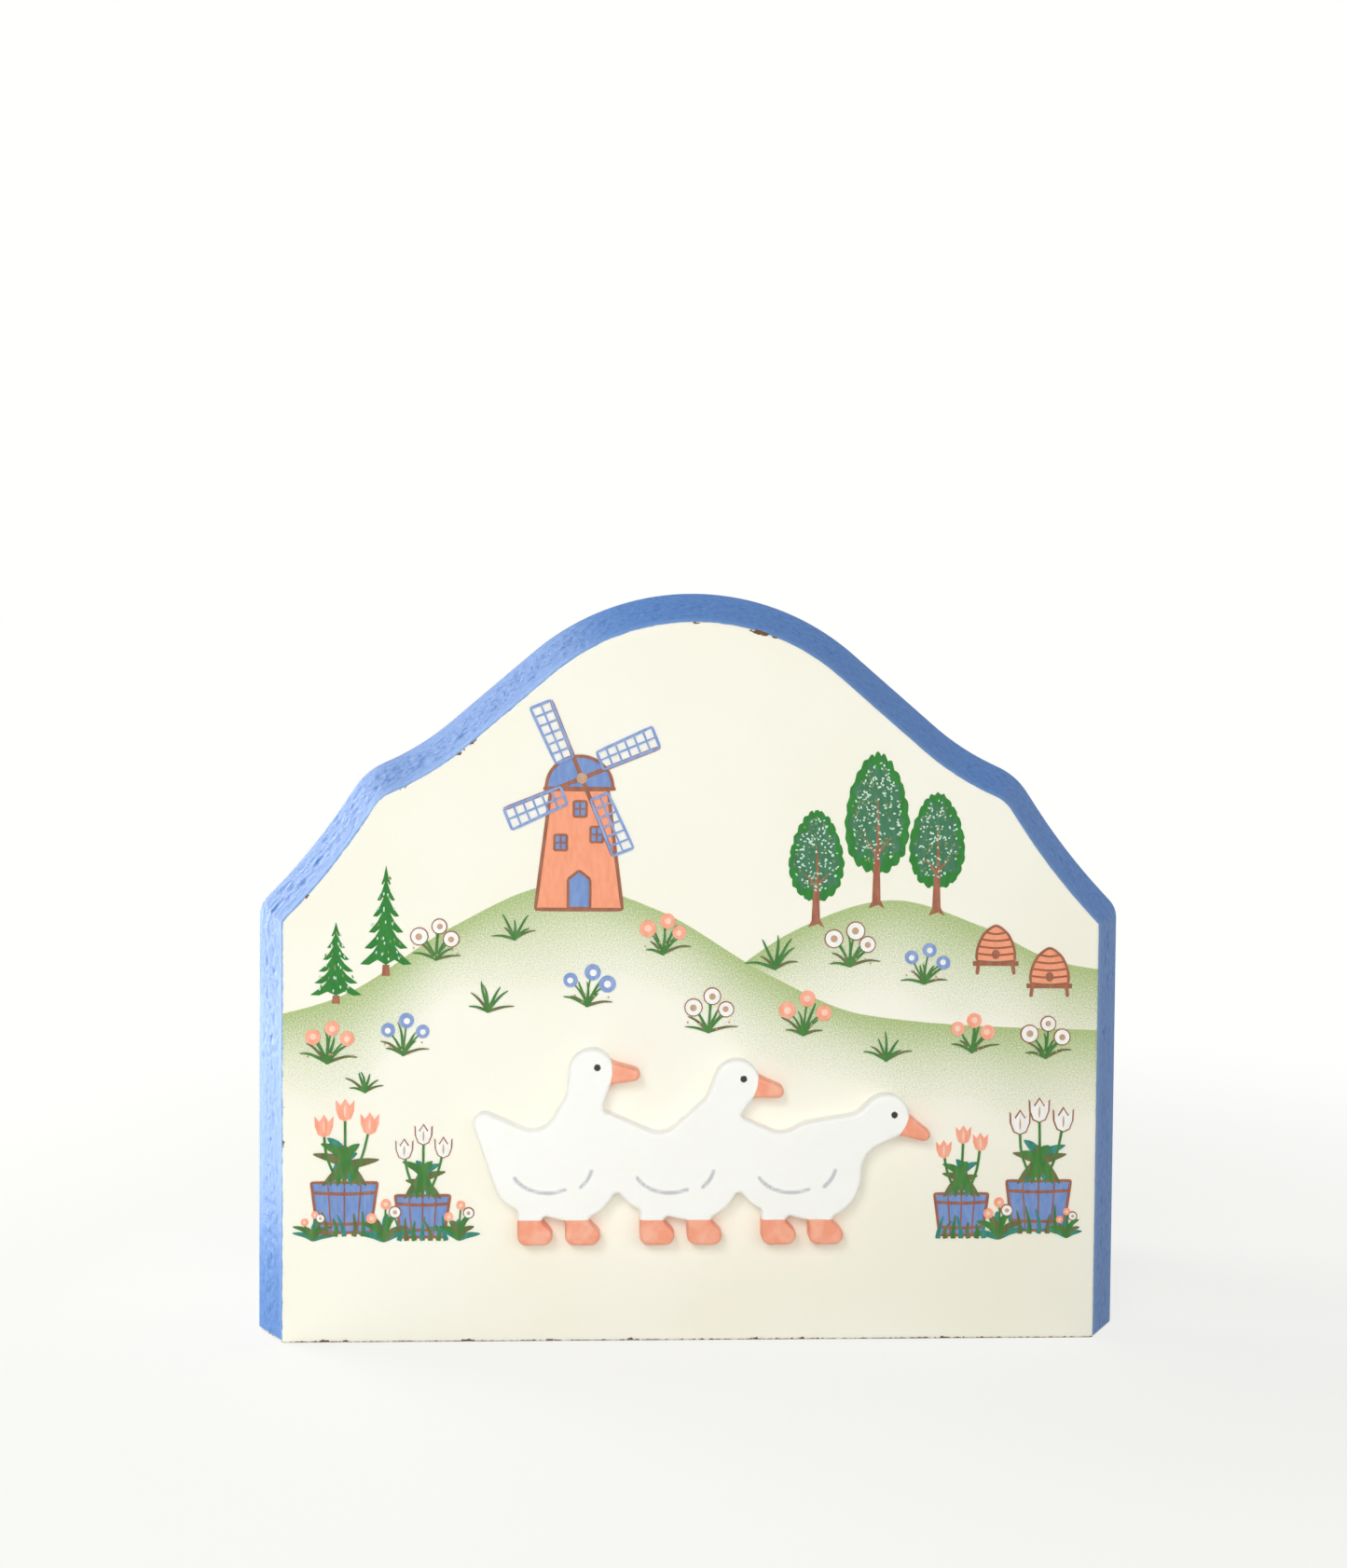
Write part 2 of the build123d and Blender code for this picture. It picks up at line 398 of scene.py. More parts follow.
        # A dot shows where the grit is below the density, so full density covers and little leaves specks.
        fine = {"Scale": per_mm(self.sponge_grit), "Detail": 3.0, "Roughness": 0.7}
        grit = lay("TexNoise", {"Vector": place, **fine})
        level = lay("MapRange", {"Value": grit, "From Min": 0.32, "From Max": 0.68})
        over = lay("Math", {0: dense, 1: level}, operation="SUBTRACT")
        dots = lay("MapRange", {"Value": over, "From Min": -0.5, "From Max": 0.5})
        near = lay("MapRange", {"Value": dense, "From Max": 0.16})
        dots = lay("Math", {0: dots, 1: near}, operation="MULTIPLY")
        sage = lay("Mix", {"Factor": dense, "A": linear(self.sage_light), "B": linear(self.sage)}, **COLOUR)
        return lay("Mix", {"Factor": dots, "A": face, "B": sage}, **COLOUR)


@dataclass(frozen=True)
class GooseEnamel(Finish):
    """White enamel brushed over a sawn cut-out, with coral, grey and black put on by hand.

    It is a fuller coat than the panel's, so it lies rounder and has a soft gloss. The mesh carries how far
    each point is from the painted beaks and feet, the wing strokes and the eyes.
    """

    name: str
    white: str = "FEFEFB"
    white_thin: str = "FCFCF8"
    coral: str = "F79F80"
    coral_thin: str = "FBB79B"
    grey: str = "BFC1C8"
    black: str = "14120F"
    brush_mark: float = 2.4
    relief: float = 0.05
    roughness: float = 0.42
    ior: float = 1.5

    def shade(self, tree: Tree) -> Node:
        """Lay the white and then the three colours by their masks.

        Args:
            tree: the material's node tree.

        Returns:
            The shader node.
        """
        lay = partial(add_node, tree)
        place = lay("TexCoord").outputs["Object"]
        brushed = lay("TexNoise", {"Vector": place, "Scale": per_mm(self.brush_mark), "Detail": 4.0})
        cover = lay("MapRange", {"Value": brushed, "From Min": 0.35, "From Max": 0.6})
        colour, coral = (
            lay("Mix", {"Factor": cover, "A": linear(thin), "B": linear(full)}, **COLOUR)
            for thin, full in ((self.white_thin, self.white), (self.coral_thin, self.coral))
        )
        shake = lay("MapRange", {"Value": brushed, "To Min": -0.12, "To Max": 0.12})
        coats = (
            ("bill", coral, 0.08, 1.0),
            ("wing", linear(self.grey), 0.16, 0.9),
            ("eye", linear(self.black), 0.06, 1.0),
        )
        for mask, paint, blur, strength in coats:
            away = lay("Attribute", attribute_name=mask).outputs["Fac"]
            shaken = lay("Math", {0: away, 1: shake}, operation="ADD")
            on = lay("MapRange", {"Value": shaken, "From Min": blur, "From Max": -blur, "To Max": strength})
            colour = lay("Mix", {"Factor": on, "A": colour, "B": paint}, **COLOUR)
        relief = lay("Bump", {"Height": brushed, "Strength": 0.12, "Distance": self.relief * MM})
        skin = {"Roughness": self.roughness, "IOR": self.ior, "Normal": relief}
        return lay("BsdfPrincipled", {"Base Color": colour, **skin})


@dataclass(frozen=True)
class Beech(Finish):
    """Turned beech, bare: pale pinkish wood with long fine grain and short brown flecks."""

    name: str = "beech_turned_bare"
    pale: str = "D9B68A"
    dark: str = "B98A5C"
    grain: float = 0.6
    grain_pull: Place = (1.0, 0.08, 1.0)
    roughness: float = 0.65
    ior: float = 1.5

    def shade(self, tree: Tree) -> Node:
        """Lay the grain, drawn out along Y.

        Args:
            tree: the material's node tree.

        Returns:
            The shader node.
        """
        lay = partial(add_node, tree)
        drawn = lay("Mapping", {"Vector": lay("TexCoord").outputs["Object"], "Scale": self.grain_pull})
        grain = lay("TexNoise", {"Vector": drawn, "Scale": per_mm(self.grain), "Detail": 4.0})
        tone = lay("Mix", {"Factor": grain, "A": linear(self.dark), "B": linear(self.pale)}, **COLOUR)
        return lay("BsdfPrincipled", {"Base Color": tone, "Roughness": self.roughness, "IOR": self.ior})


class Sketch:
    """Points, faces and point values of one mesh. Points at the same place are one point."""

    # Arrises that turn more than this many degrees stay sharp.
    sharp_from = 48

    def __init__(self) -> None:
        """Start with nothing."""
        self.points: list[Vector] = []
        self.faces: list[tuple[int, ...]] = []
        self.edges: list[float] = []
        self.runs: list[float] = []
        self.known: dict[Place, int] = {}

    def add(self, x: float, y: float, z: float, edge: float = FAR, run: float = 0.0) -> int:
        """Add a point, unless it is there.

        Args:
            x, y, z: place in millimetres.
            edge: how far the point is inside the blue edge.
            run: how far it is along the sawn outline.

        Returns:
            The point's number.
        """
        key = (round(x, 3), round(y, 3), round(z, 3))
        if key not in self.known:
            self.known[key] = len(self.points)
            self.points.append(Vector((x, y, z)))
            self.edges.append(edge)
            self.runs.append(run)
        return self.known[key]

    def strips(self, rows: Sequence[Sequence[int]], closed: bool = False) -> None:
        """Join each row of points to the next one with quads.

        Args:
            rows: numbers of the points of each row.
            closed: whether the last points of a row join its first ones.
        """
        for first, second in zip(rows, rows[1:]):
            count = len(first)
            for i in range(count if closed else count - 1):
                j = (i + 1) % count
                self.faces.append((first[i], first[j], second[j], second[i]))

    def fill(self, flat: Sequence[Point], numbers: Sequence[int], loop: int) -> None:
        """Fill a flat outline with triangles that use the points inside it.

        Args:
            flat: the outline's points in order, then the points inside it, in the face's plane.
            numbers: the same points' numbers.
            loop: how many of them are the outline.
        """
        made = delaunay_2d_cdt([Vector(p) for p in flat], [], [list(range(loop))], 1, 1e-6)
        origins = [ids[0] if ids else None for ids in made[3]]
        for face in made[2]:
            if all(origins[v] is not None for v in face):
                self.faces.append(tuple(numbers[origins[v]] for v in face))

    def piece(
        self, name: str, finish: Finish, slot: str, values: dict[str, list[float]] | None = None
    ) -> Piece:
        """Make the mesh an object that rides on the frame.

        Args:
            name: the piece's name.
            finish: its finish.
            slot: the record's material slot that the finish belongs to; it is not used.
            values: values for the finish, one for each point, by their names.

        Returns:
            The new object.
        """
        mesh = bpy.data.meshes.new(name)
        mesh.from_pydata([p * MM for p in self.points], [], self.faces)
        for key, numbers in (values or {}).items():
            mesh.attributes.new(key, "FLOAT", "POINT").data.foreach_set("value", numbers)
        cleaner = bmesh.new()
        cleaner.from_mesh(mesh)
        bmesh.ops.delete(cleaner, geom=[v for v in cleaner.verts if not v.link_faces], context="VERTS")
        bmesh.ops.recalc_face_normals(cleaner, faces=cleaner.faces)
        cleaner.to_mesh(mesh)
        cleaner.free()
        mesh.shade_smooth()
        mesh.set_sharp_from_angle(angle=math.radians(self.sharp_from))
        mesh.materials.append(finish.material())
        made = bpy.data.objects.new(name, mesh)
        bpy.context.scene.collection.objects.link(made)
        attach(made, "root")
        log.info("%s: %d points, %d faces", name, len(mesh.vertices), len(mesh.polygons))
        return made


def left_of(heading: Vector) -> Vector:
    """Turn a flat heading a quarter to the left."""
    return Vector((-heading.y, heading.x))


def evenly(half: float, pitch: float) -> list[float]:
    """Return even places from -half to half."""
    count = round(half / pitch)
    return [k * pitch for k in range(-count, count + 1)]


def arc_angles(start: float, end: float, count: int = 12) -> list[float]:
    """Return even angles in radians between two in degrees."""
    return [math.radians(start + (end - start) * k / count) for k in range(count + 1)]


def moved(points: Sequence[Point], x: float, z: float, size: float = 1.0) -> list[Point]:
    """Return points that are scaled and then moved to x, z."""
    return [(x + dx * size, z + dz * size) for dx, dz in points]


def inward_ways(outline: Sequence[Vector]) -> list[Vector]:
    """Find the headings that point into a closed outline.

    Args:
        outline: its points in order, either way round.

    Returns:
        A heading for each point.
    """
    ahead = list(outline[1:]) + [outline[0]]
    area = sum(a.x * b.y - b.x * a.y for a, b in zip(outline, ahead))
    side = math.copysign(1.0, area)
    return [left_of((b - outline[k - 1]).normalized()) * side for k, b in enumerate(ahead)]


def gap_to_line(spot: Vector, line: Sequence[Vector]) -> float:
    """Measure from a flat point to a line of points.

    Args:
        spot: the point.
        line: the line's points.

    Returns:
        The least distance.
    """
    gaps = []
    for a, b in zip(line, line[1:]):
        run = b - a
        t = min(max((spot - a).dot(run) / run.length_squared, 0.0), 1.0)
        gaps.append((a + run * t - spot).length)
    return min(gaps)


def run_counts(points: Sequence[Vector], radii: Sequence[float], step: float) -> list[int]:
    """Count the steps on each run and each round of a path, run first.

    Args:
        points: the path's corners, ends included.
        radii: radius of each corner but the ends.
        step: longest step.

    Returns:
        Number of steps for run, round, run and so on.
    """
    headings = [(b - a).normalized() for a, b in zip(points, points[1:])]
    turns = [abs(a.angle_signed(b)) for a, b in zip(headings, headings[1:])]
    reaches = [0.0] + [r * math.tan(t / 2) for r, t in zip(radii, turns)] + [0.0]
    counts: list[int] = []
    for i, (a, b) in enumerate(zip(points, points[1:])):
        run = (b - a).length - reaches[i] - reaches[i + 1]
        counts.append(max(1, round(run / step)))
        if i < len(turns):
            counts.append(max(3, round(radii[i] * turns[i] / step)))
    return counts


def rounded_path(points: Sequence[Vector], radii: Sequence[float], counts: Sequence[int]) -> list[Vector]:
    """Follow a path whose corners are rounded.

    Args:
        points: the path's corners, ends included.
        radii: radius of each corner but the ends.
        counts: steps on each run and round, as run_counts gives them.

    Returns:
        The points along the path.
    """
    path = [points[0].copy()]

    def run_to(end: Vector, count: int) -> None:
        """Add an even run of points up to an end."""
        start = path[-1].copy()
        path.extend(start.lerp(end, k / count) for k in range(1, count + 1))

    for i in range(1, len(points) - 1):
        before = (points[i] - points[i - 1]).normalized()
        after = (points[i + 1] - points[i]).normalized()
        turn = math.atan2(before.x * after.y - before.y * after.x, before.dot(after))
        radius = math.copysign(radii[i - 1], turn)
        start = points[i] - before * abs(radius * math.tan(turn / 2))
        run_to(start, counts[2 * i - 2])
        centre = start + left_of(before) * radius
        arm = start - centre
        steps = counts[2 * i - 1]
        path.extend(centre + Matrix.Rotation(turn * k / steps, 2) @ arm for k in range(1, steps + 1))
    run_to(points[-1], counts[-1])
    return path


def smooth_line(points: Sequence[Point], steps: int = 5) -> list[Vector]:
    """Draw a smooth open line through points.

    Args:
        points: places that the line passes.
        steps: steps between two of them.

    Returns:
        Points along the line.
    """
    spots = [Vector(p) for p in points]
    last = len(spots) - 1
    line = []
    for i in range(last):
        a, b, c, d = (spots[min(max(i + k, 0), last)] for k in (-1, 0, 1, 2))
        for k in range(steps):
            t = k / steps
            bend = (2 * a - 5 * b + 4 * c - d) * t * t + (3 * b - a - 3 * c + d) * t**3
            line.append(0.5 * (2 * b + (c - a) * t + bend))
    return line + [spots[-1]]


@dataclass
class PanelOutline:
    """A panel's outline from the front: straight sides, scooped flanks, shoulders and a domed crown.

    Corners are steps in and up from the one below, as in the CAD source. A scoop's radius is negative.
    """

    half_width: float = 76.0
    foot: float = 0.5
    steps: tuple[Point, ...] = ((0.0, 75.0), (9.5, 10.1), (8.9, 13.4), (10.1, 4.7))
    crown_slope: float = 40.6
    radii: tuple[float, ...] = (4.5, -110.0, 12.0, -45.0, 43.3, -45.0, 12.0, -110.0, 4.5)
    sharpest: float = 0.35
    step: float = 0.4
    counts: list[int] = field(default_factory=list)

    def __post_init__(self) -> None:
        """Settle the number of stations from the outer edge."""
        self.counts = run_counts(self.corners(0.0), self.rounds(0.0), self.step)

    def corners(self, inset: float) -> list[Vector]:
        """Draw the outline's corners in by an inset.

        Args:
            inset: how far.

        Returns:
            The corners from the right foot to the left one.
        """
        x, z = self.half_width, 0.0
        right = [Vector((x, self.foot))]
        for step, rise in self.steps:
            x, z = x - step, z + rise
            right.append(Vector((x, z)))
        peak = Vector((0.0, z + x * math.tan(math.radians(self.crown_slope))))
        spots = right + [peak] + [Vector((-p.x, p.y)) for p in reversed(right)]
        normals = [left_of((b - a).normalized()) for a, b in zip(spots, spots[1:])]
        drawn = [spots[0] + inset * normals[0]]
        for spot, first, second in zip(spots[1:-1], normals, normals[1:]):
            drawn.append(spot + inset * (first + second) / (1 + first.dot(second)))
        return drawn + [spots[-1] + inset * normals[-1]]

    def rounds(self, inset: float) -> list[float]:
        """Return the corners' radii at an inset: a scoop's grows and a shoulder's shrinks."""
        return [inset - r if r < 0 else max(r - inset, self.sharpest) for r in self.radii]

    def ring(self, inset: float) -> list[Vector]:
        """Return the stations of the outline drawn in by an inset."""
        return rounded_path(self.corners(inset), self.rounds(inset), self.counts)


@dataclass
class Chip:
    """A place where the paint has broken off an arris, and the way the board's surface falls back there."""

    place: Vector
    radius: float
    push: Vector
    along: Vector
    stretch: float


@dataclass(frozen=True)
class Wear:
    """How many chips an arris has, and how wide and how drawn out they are."""

    count: int
    radius: Range
    stretch: Range


@dataclass
class Panel:
    """One shaped panel: a flat face with a blue bevel round its sides and top, eased at every arris.

    The rim is the flat strip along the bevel that the bevel's section takes in. Rows of points are given as
    half their length and their pitch.
    """

    name: str
    node: str
    outward: float
    finish: PaintedBoard
    seed: int
    outline: PanelOutline = field(default_factory=PanelOutline)
    thickness: float = 9.0
    bevel_inset: float = 5.4
    land: float = 0.8
    rim: float = 1.0
    rounds: tuple[float, ...] = (0.35, 1.1, 0.9)
    section_step: float = 0.3
    fibre_height: float = 0.09
    fibre_size: float = 0.8
    fibre_run: float = 1.7
    fibre_band: float = 0.42
    pit_depth: float = 0.4
    foot_step: float = 0.5
    foot_turns: tuple[float, ...] = (30, 60, 90)
    rim_rings: tuple[float, ...] = (0.45, 1.1, 2.1)
    foot_rises: tuple[float, ...] = (0.45, 1.0)
    foot_row: Point = (67.2, 0.6)
    crest_shifts: tuple[float, ...] = (-0.9, -0.3, 0.0, 0.3, 0.9)
    crest_row: Point = (70.0, 0.5)
    grid_row: Point = (78.0, 3.0)
    grid_height: float = 130.0
    grid_inset: float = 3.2
    foot_bare: float = 0.26
    foot_wear: Wear = Wear(11, (0.14, 0.4), (1.2, 4.0))
    foot_wear_half: float = 70.0
    rim_wear: Wear = Wear(7, (0.12, 0.26), (1.5, 4.0))
    rim_wear_right: float = 11.0
    crown_chips: tuple[tuple[int, float, float], ...] = ((0, 0.42, 4.2), (-4, 0.2, 6.0))
    chip_depth: float = 0.22

    def y(self, depth: float) -> float:
        """Return Y at a depth below the face."""
        return self.outward * (PANEL_FACE - depth)

    def section(self) -> list[Vector]:
        """Draw the bevel's section.

        Returns:
            Its points as insets and depths, from the inner face to the outer one.
        """
        inner, bevel = self.thickness, self.bevel_inset
        behind = [(self.rim, inner), (0.0, inner), (0.0, inner - self.land)]
        spots = [Vector(c) for c in behind + [(bevel, 0.0), (bevel + self.rim, 0.0)]]
        return rounded_path(spots, self.rounds, run_counts(spots, self.rounds, self.section_step))

    def build(self) -> Piece:
        """Build the panel's mesh and dress it.

        Returns:
            The panel's piece.
        """
        sketch = Sketch()
        section = self.section()
        rings = [self.outline.ring(s.x) for s in section]
        outer = self.outline.ring(0.0)
        runs = list(accumulate(((b - a).length for a, b in zip(outer, outer[1:])), initial=0.0))
        rows = [self.band_row(sketch, s, ring, runs) for s, ring in zip(section, rings)]
        sketch.strips(rows)
        front, back = (self.foot_line(sketch, section[k], rings[k]) for k in (-1, 0))
        self.fill_face(sketch, rows[-1], front, 0.0)
        self.fill_face(sketch, rows[0], back, self.thickness)
        right = [row[0] for row in reversed(rows)]
        left = [row[-1] for row in rows]
        self.ease_foot(sketch, front + right[1:] + back[::-1][1:] + left[1:-1])
        values = {"edge": sketch.edges, "run": sketch.runs, "chip": self.chip_away(sketch)}
        on_face = [abs(p.y - self.y(0)) < self.foot_step for p in sketch.points]
        for hill in self.finish.hills:
            depths = [hill.crest(p.x) - p.z for p in sketch.points]
            tones = [hill.tone(p.x, d) for p, d in zip(sketch.points, depths)]
            values[f"{hill.name}_crest"] = depths
            values[f"{hill.name}_tone"] = [t if on else 0.0 for t, on in zip(tones, on_face)]
        made = sketch.piece(self.name, self.finish, "blue_edge_paint", values)
        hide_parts(self.node)
        return made

    def band_row(
        self, sketch: Sketch, spot: Vector, ring: Sequence[Vector], runs: Sequence[float]
    ) -> list[int]:
        """Add one row of points along the bevel, with the sawn edge's standing fibres.

        Args:
            sketch: the panel's mesh.
            spot: inset and depth of the row.
            ring: the outline at that inset.
            runs: how far each station is along the outline.

        Returns:
            Numbers of the row's points.
        """
        inset, depth = spot
        last = len(ring) - 1
        run = self.bevel_inset / math.hypot(self.bevel_inset, self.thickness - self.land)
        rise = math.sqrt(1 - run * run)
        share = inset / self.bevel_inset if depth < self.thickness - self.land else 0.0
        core = max(0.0, 1 - abs(share - 0.5) / self.fibre_band) ** 0.6 if share < 1 else 0.0
        edge = inset - (self.bevel_inset if depth < self.thickness - self.land / 2 else self.rounds[0])
        row = []
        for k, station in enumerate(ring):
            out = -left_of((ring[min(k + 1, last)] - ring[max(k - 1, 0)]).normalized())
            lift = 0.0
            if core and 0 < k < last:
                seat = Vector((runs[k] / self.fibre_run, depth, self.seed)) / self.fibre_size
                rough = noise.fractal(seat, 0.8, 2.1, 3)
                pit = max(0.0, noise.noise(seat * 0.7) - 0.22)
                lift = core * (self.fibre_height * rough - self.pit_depth * pit)
            x, z = station + out * lift * rise
            row.append(sketch.add(x, self.y(depth - lift * run), z, edge, runs[k]))
        return row

    def foot_line(self, sketch: Sketch, spot: Vector, ring: Sequence[Vector]) -> list[int]:
        """Add the row of points above the panel's foot, from left to right.

        Args:
            sketch: the panel's mesh.
            spot: inset and depth of the face's rim.
            ring: the outline at that inset.

        Returns:
            Numbers of the row's points, the rim's ends included.
        """
        start, end = ring[-1].x, ring[0].x
        count = round((end - start) / self.foot_step)
        line = []
        for k in range(count + 1):
            x = start + (end - start) * k / count
            edge = min(x - start, end - x) + self.rim
            line.append(sketch.add(x, self.y(spot.y), self.outline.foot, edge))
        return line

    def fill_face(self, sketch: Sketch, rim: Sequence[int], line: Sequence[int], depth: float) -> None:
        """Fill a flat face inside its rim, finer near the rim, the foot and the hills' crests.

        Args:
            sketch: the panel's mesh.
            rim: the rim's points from the right foot to the left one.
            line: the foot's points from left to right.
            depth: the face's depth.
        """
        loop = list(rim) + list(line[1:-1])
        inset = self.bevel_inset + self.rim if depth == 0 else self.rim
        base = self.bevel_inset if depth == 0 else self.rounds[0]
        foot = self.outline.foot
        seats: list[tuple[Point, float]] = []
        for extra in self.rim_rings:
            ring = self.outline.ring(inset + extra)
            clear = foot + self.foot_rises[-1] + 0.5
            seats += [((p.x, p.y), inset + extra - base) for p in ring[::2] if p.y > clear]
        tops: dict[float, float] = {}
        for p in self.outline.ring(inset + self.grid_inset):
            tops[round(p.x, 3)] = max(tops.get(round(p.x, 3), 0), p.y)
        across = sorted(tops)

        def room(x: float) -> float:
            """Height of the inner ring above x, or nothing outside it."""
            return tops[across[bisect_left(across, x)]] if abs(x) < across[-1] else 0.0

        for rise in self.foot_rises:
            seats += [((x, foot + rise), FAR) for x in evenly(*self.foot_row)]
        inner: list[Point] = []
        for hill in self.finish.hills if depth == 0 else ():
            for shift in self.crest_shifts:
                inner += [(x, hill.crest(x) + shift) for x in evenly(*self.crest_row)]
        pitch = self.grid_row[1]
        for j in range(1, int(self.grid_height / pitch)):
            inner += [(x + 0.5 * (j % 2) * pitch, j * pitch) for x in evenly(*self.grid_row)]
        seats += [((x, z), FAR) for x, z in inner if z < room(x)]
        numbers = loop + [sketch.add(x, self.y(depth), z, edge) for (x, z), edge in seats]
        flat = [(sketch.points[n].x, sketch.points[n].z) for n in numbers]
        sketch.fill(flat, numbers, len(loop))

    def ease_foot(self, sketch: Sketch, loop: Sequence[int]) -> None:
        """Round the panel's foot inwards and close it underneath.

        Args:
            sketch: the panel's mesh.
            loop: points of the level section above the foot, in order.
        """
        spots = [Vector(sketch.points[n].xy) for n in loop]
        ways = inward_ways(spots)
        foot = self.outline.foot
        rows = [list(loop)]
        for turn in self.foot_turns:
            height = foot * (1 - math.sin(math.radians(turn)))
            draw = foot * (1 - math.cos(math.radians(turn)))
            rows.append([sketch.add(*(spot + way * draw), height) for spot, way in zip(spots, ways)])
        sketch.strips(rows, closed=True)
        flat = [tuple(sketch.points[n].xy) for n in rows[-1]]
        sketch.fill(flat, rows[-1], len(flat))

    def chips(self) -> list[Chip]:
        """Scatter chips along the foot and along the rim of the cream face.

        Returns:
            The chips, the same at each run.
        """
        draw = random.Random(self.seed)
        inward = Vector((0, -self.outward, 0))
        made = []
        wear = self.foot_wear
        for _ in range(wear.count):
            x = draw.uniform(-self.foot_wear_half, self.foot_wear_half)
            place = Vector((x, self.y(0.1), self.outline.foot / 2))
            push = inward + Vector((0, 0, 0.7))
            radius = draw.uniform(*wear.radius)
            made.append(Chip(place, radius, push, Vector((1, 0, 0)), draw.uniform(*wear.stretch)))
        rim = self.outline.ring(self.bevel_inset + 0.1)
        loose = [k for k in range(4, len(rim) - 4) if rim[k].x < self.rim_wear_right]
        crown = max(loose, key=lambda k: rim[k].x + rim[k].y)
        wear = self.rim_wear
        spots = [
            (draw.choice(loose), draw.uniform(*wear.radius), draw.uniform(*wear.stretch))
            for _ in range(wear.count)
        ]
        spots += [(crown + shift, radius, stretch) for shift, radius, stretch in self.crown_chips]
        for k, radius, stretch in spots:
            place = Vector((rim[k].x, self.y(0.05), rim[k].y))
            run = (rim[k + 2] - rim[k - 2]).normalized()
            made.append(Chip(place, radius, inward, Vector((run.x, 0, run.y)), stretch))
        return made

    def chip_away(self, sketch: Sketch) -> list[float]:
        """Sink the chips into the mesh.

        Args:
            sketch: the panel's mesh.

        Returns:
            How far each point is outside the nearest chip, in millimetres.
        """
        away = [min(FAR, p.z - self.foot_bare) for p in sketch.points]
        tree = KDTree(len(sketch.points))
        for n, point in enumerate(sketch.points):
            tree.insert(point, n)
        tree.balance()
        for chip in self.chips():
            reach = chip.radius * chip.stretch * 2.2 + 0.8
            for place, n, _ in tree.find_range(chip.place, reach):
                gap = place - chip.place
                gap -= chip.along * (gap.dot(chip.along) * (1 - 1 / chip.stretch))
                ragged = 0.3 * chip.radius * noise.noise(place / 0.6)
                away[n] = min(away[n], gap.length - chip.radius + ragged)
                sink = min(self.chip_depth, max(0.0, chip.radius - gap.length))
                sketch.points[n] = sketch.points[n] + chip.push * sink
        return away


@dataclass
class BaseBoard:
    """The board between the panels: a cream floor for the slot, with rounded blue ends."""

    finish: PaintedBoard
    half_length: float = 73.0
    height: float = 12.0
    half_depth: float = 22.5
    rounds: tuple[float, ...] = (0.5, 1.5, 1.5, 0.5)
    end_paint: float = 1.2
    step: float = 1.0

    def build(self) -> Piece:
        """Build the board as a rounded section drawn from panel to panel, and dress it.

        Returns:
            The board's piece.
        """
        sketch = Sketch()
        x, z = self.half_length, self.height
        corners = [Vector(c) for c in ((0, 0), (x, 0), (x, z), (-x, z), (-x, 0), (0, 0))]
        section = rounded_path(corners, self.rounds, run_counts(corners, self.rounds, self.step))[:-1]
        count = round(2 * self.half_depth / self.step)
        rows = []
        for k in range(count + 1):
            y = self.half_depth * (2 * k / count - 1)
            rows.append([sketch.add(p.x, y, p.y) for p in section])
        sketch.strips(rows, closed=True)
        for row in (rows[0], rows[-1]):
            sketch.fill([tuple(p) for p in section], row, len(row))
        values = {
            "edge": [self.inside(p) for p in sketch.points],
            "run": [p.y for p in sketch.points],
            "chip": [FAR] * len(sketch.points),
        }
        made = sketch.piece("base_board_painted", self.finish, "cream_paint", values)
        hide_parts("base_board")
        return made

    def inside(self, point: Vector) -> float:
        """Measure how far a point is inside the cream.

        Args:
            point: the point.

        Returns:
            The distance, less than nothing on a blue end.
        """
        gap = self.half_length - self.end_paint - abs(point.x)
        drop = self.height - self.rounds[1] - point.z
        return gap - drop if gap < -self.end_paint / 2 and drop > 0 else gap


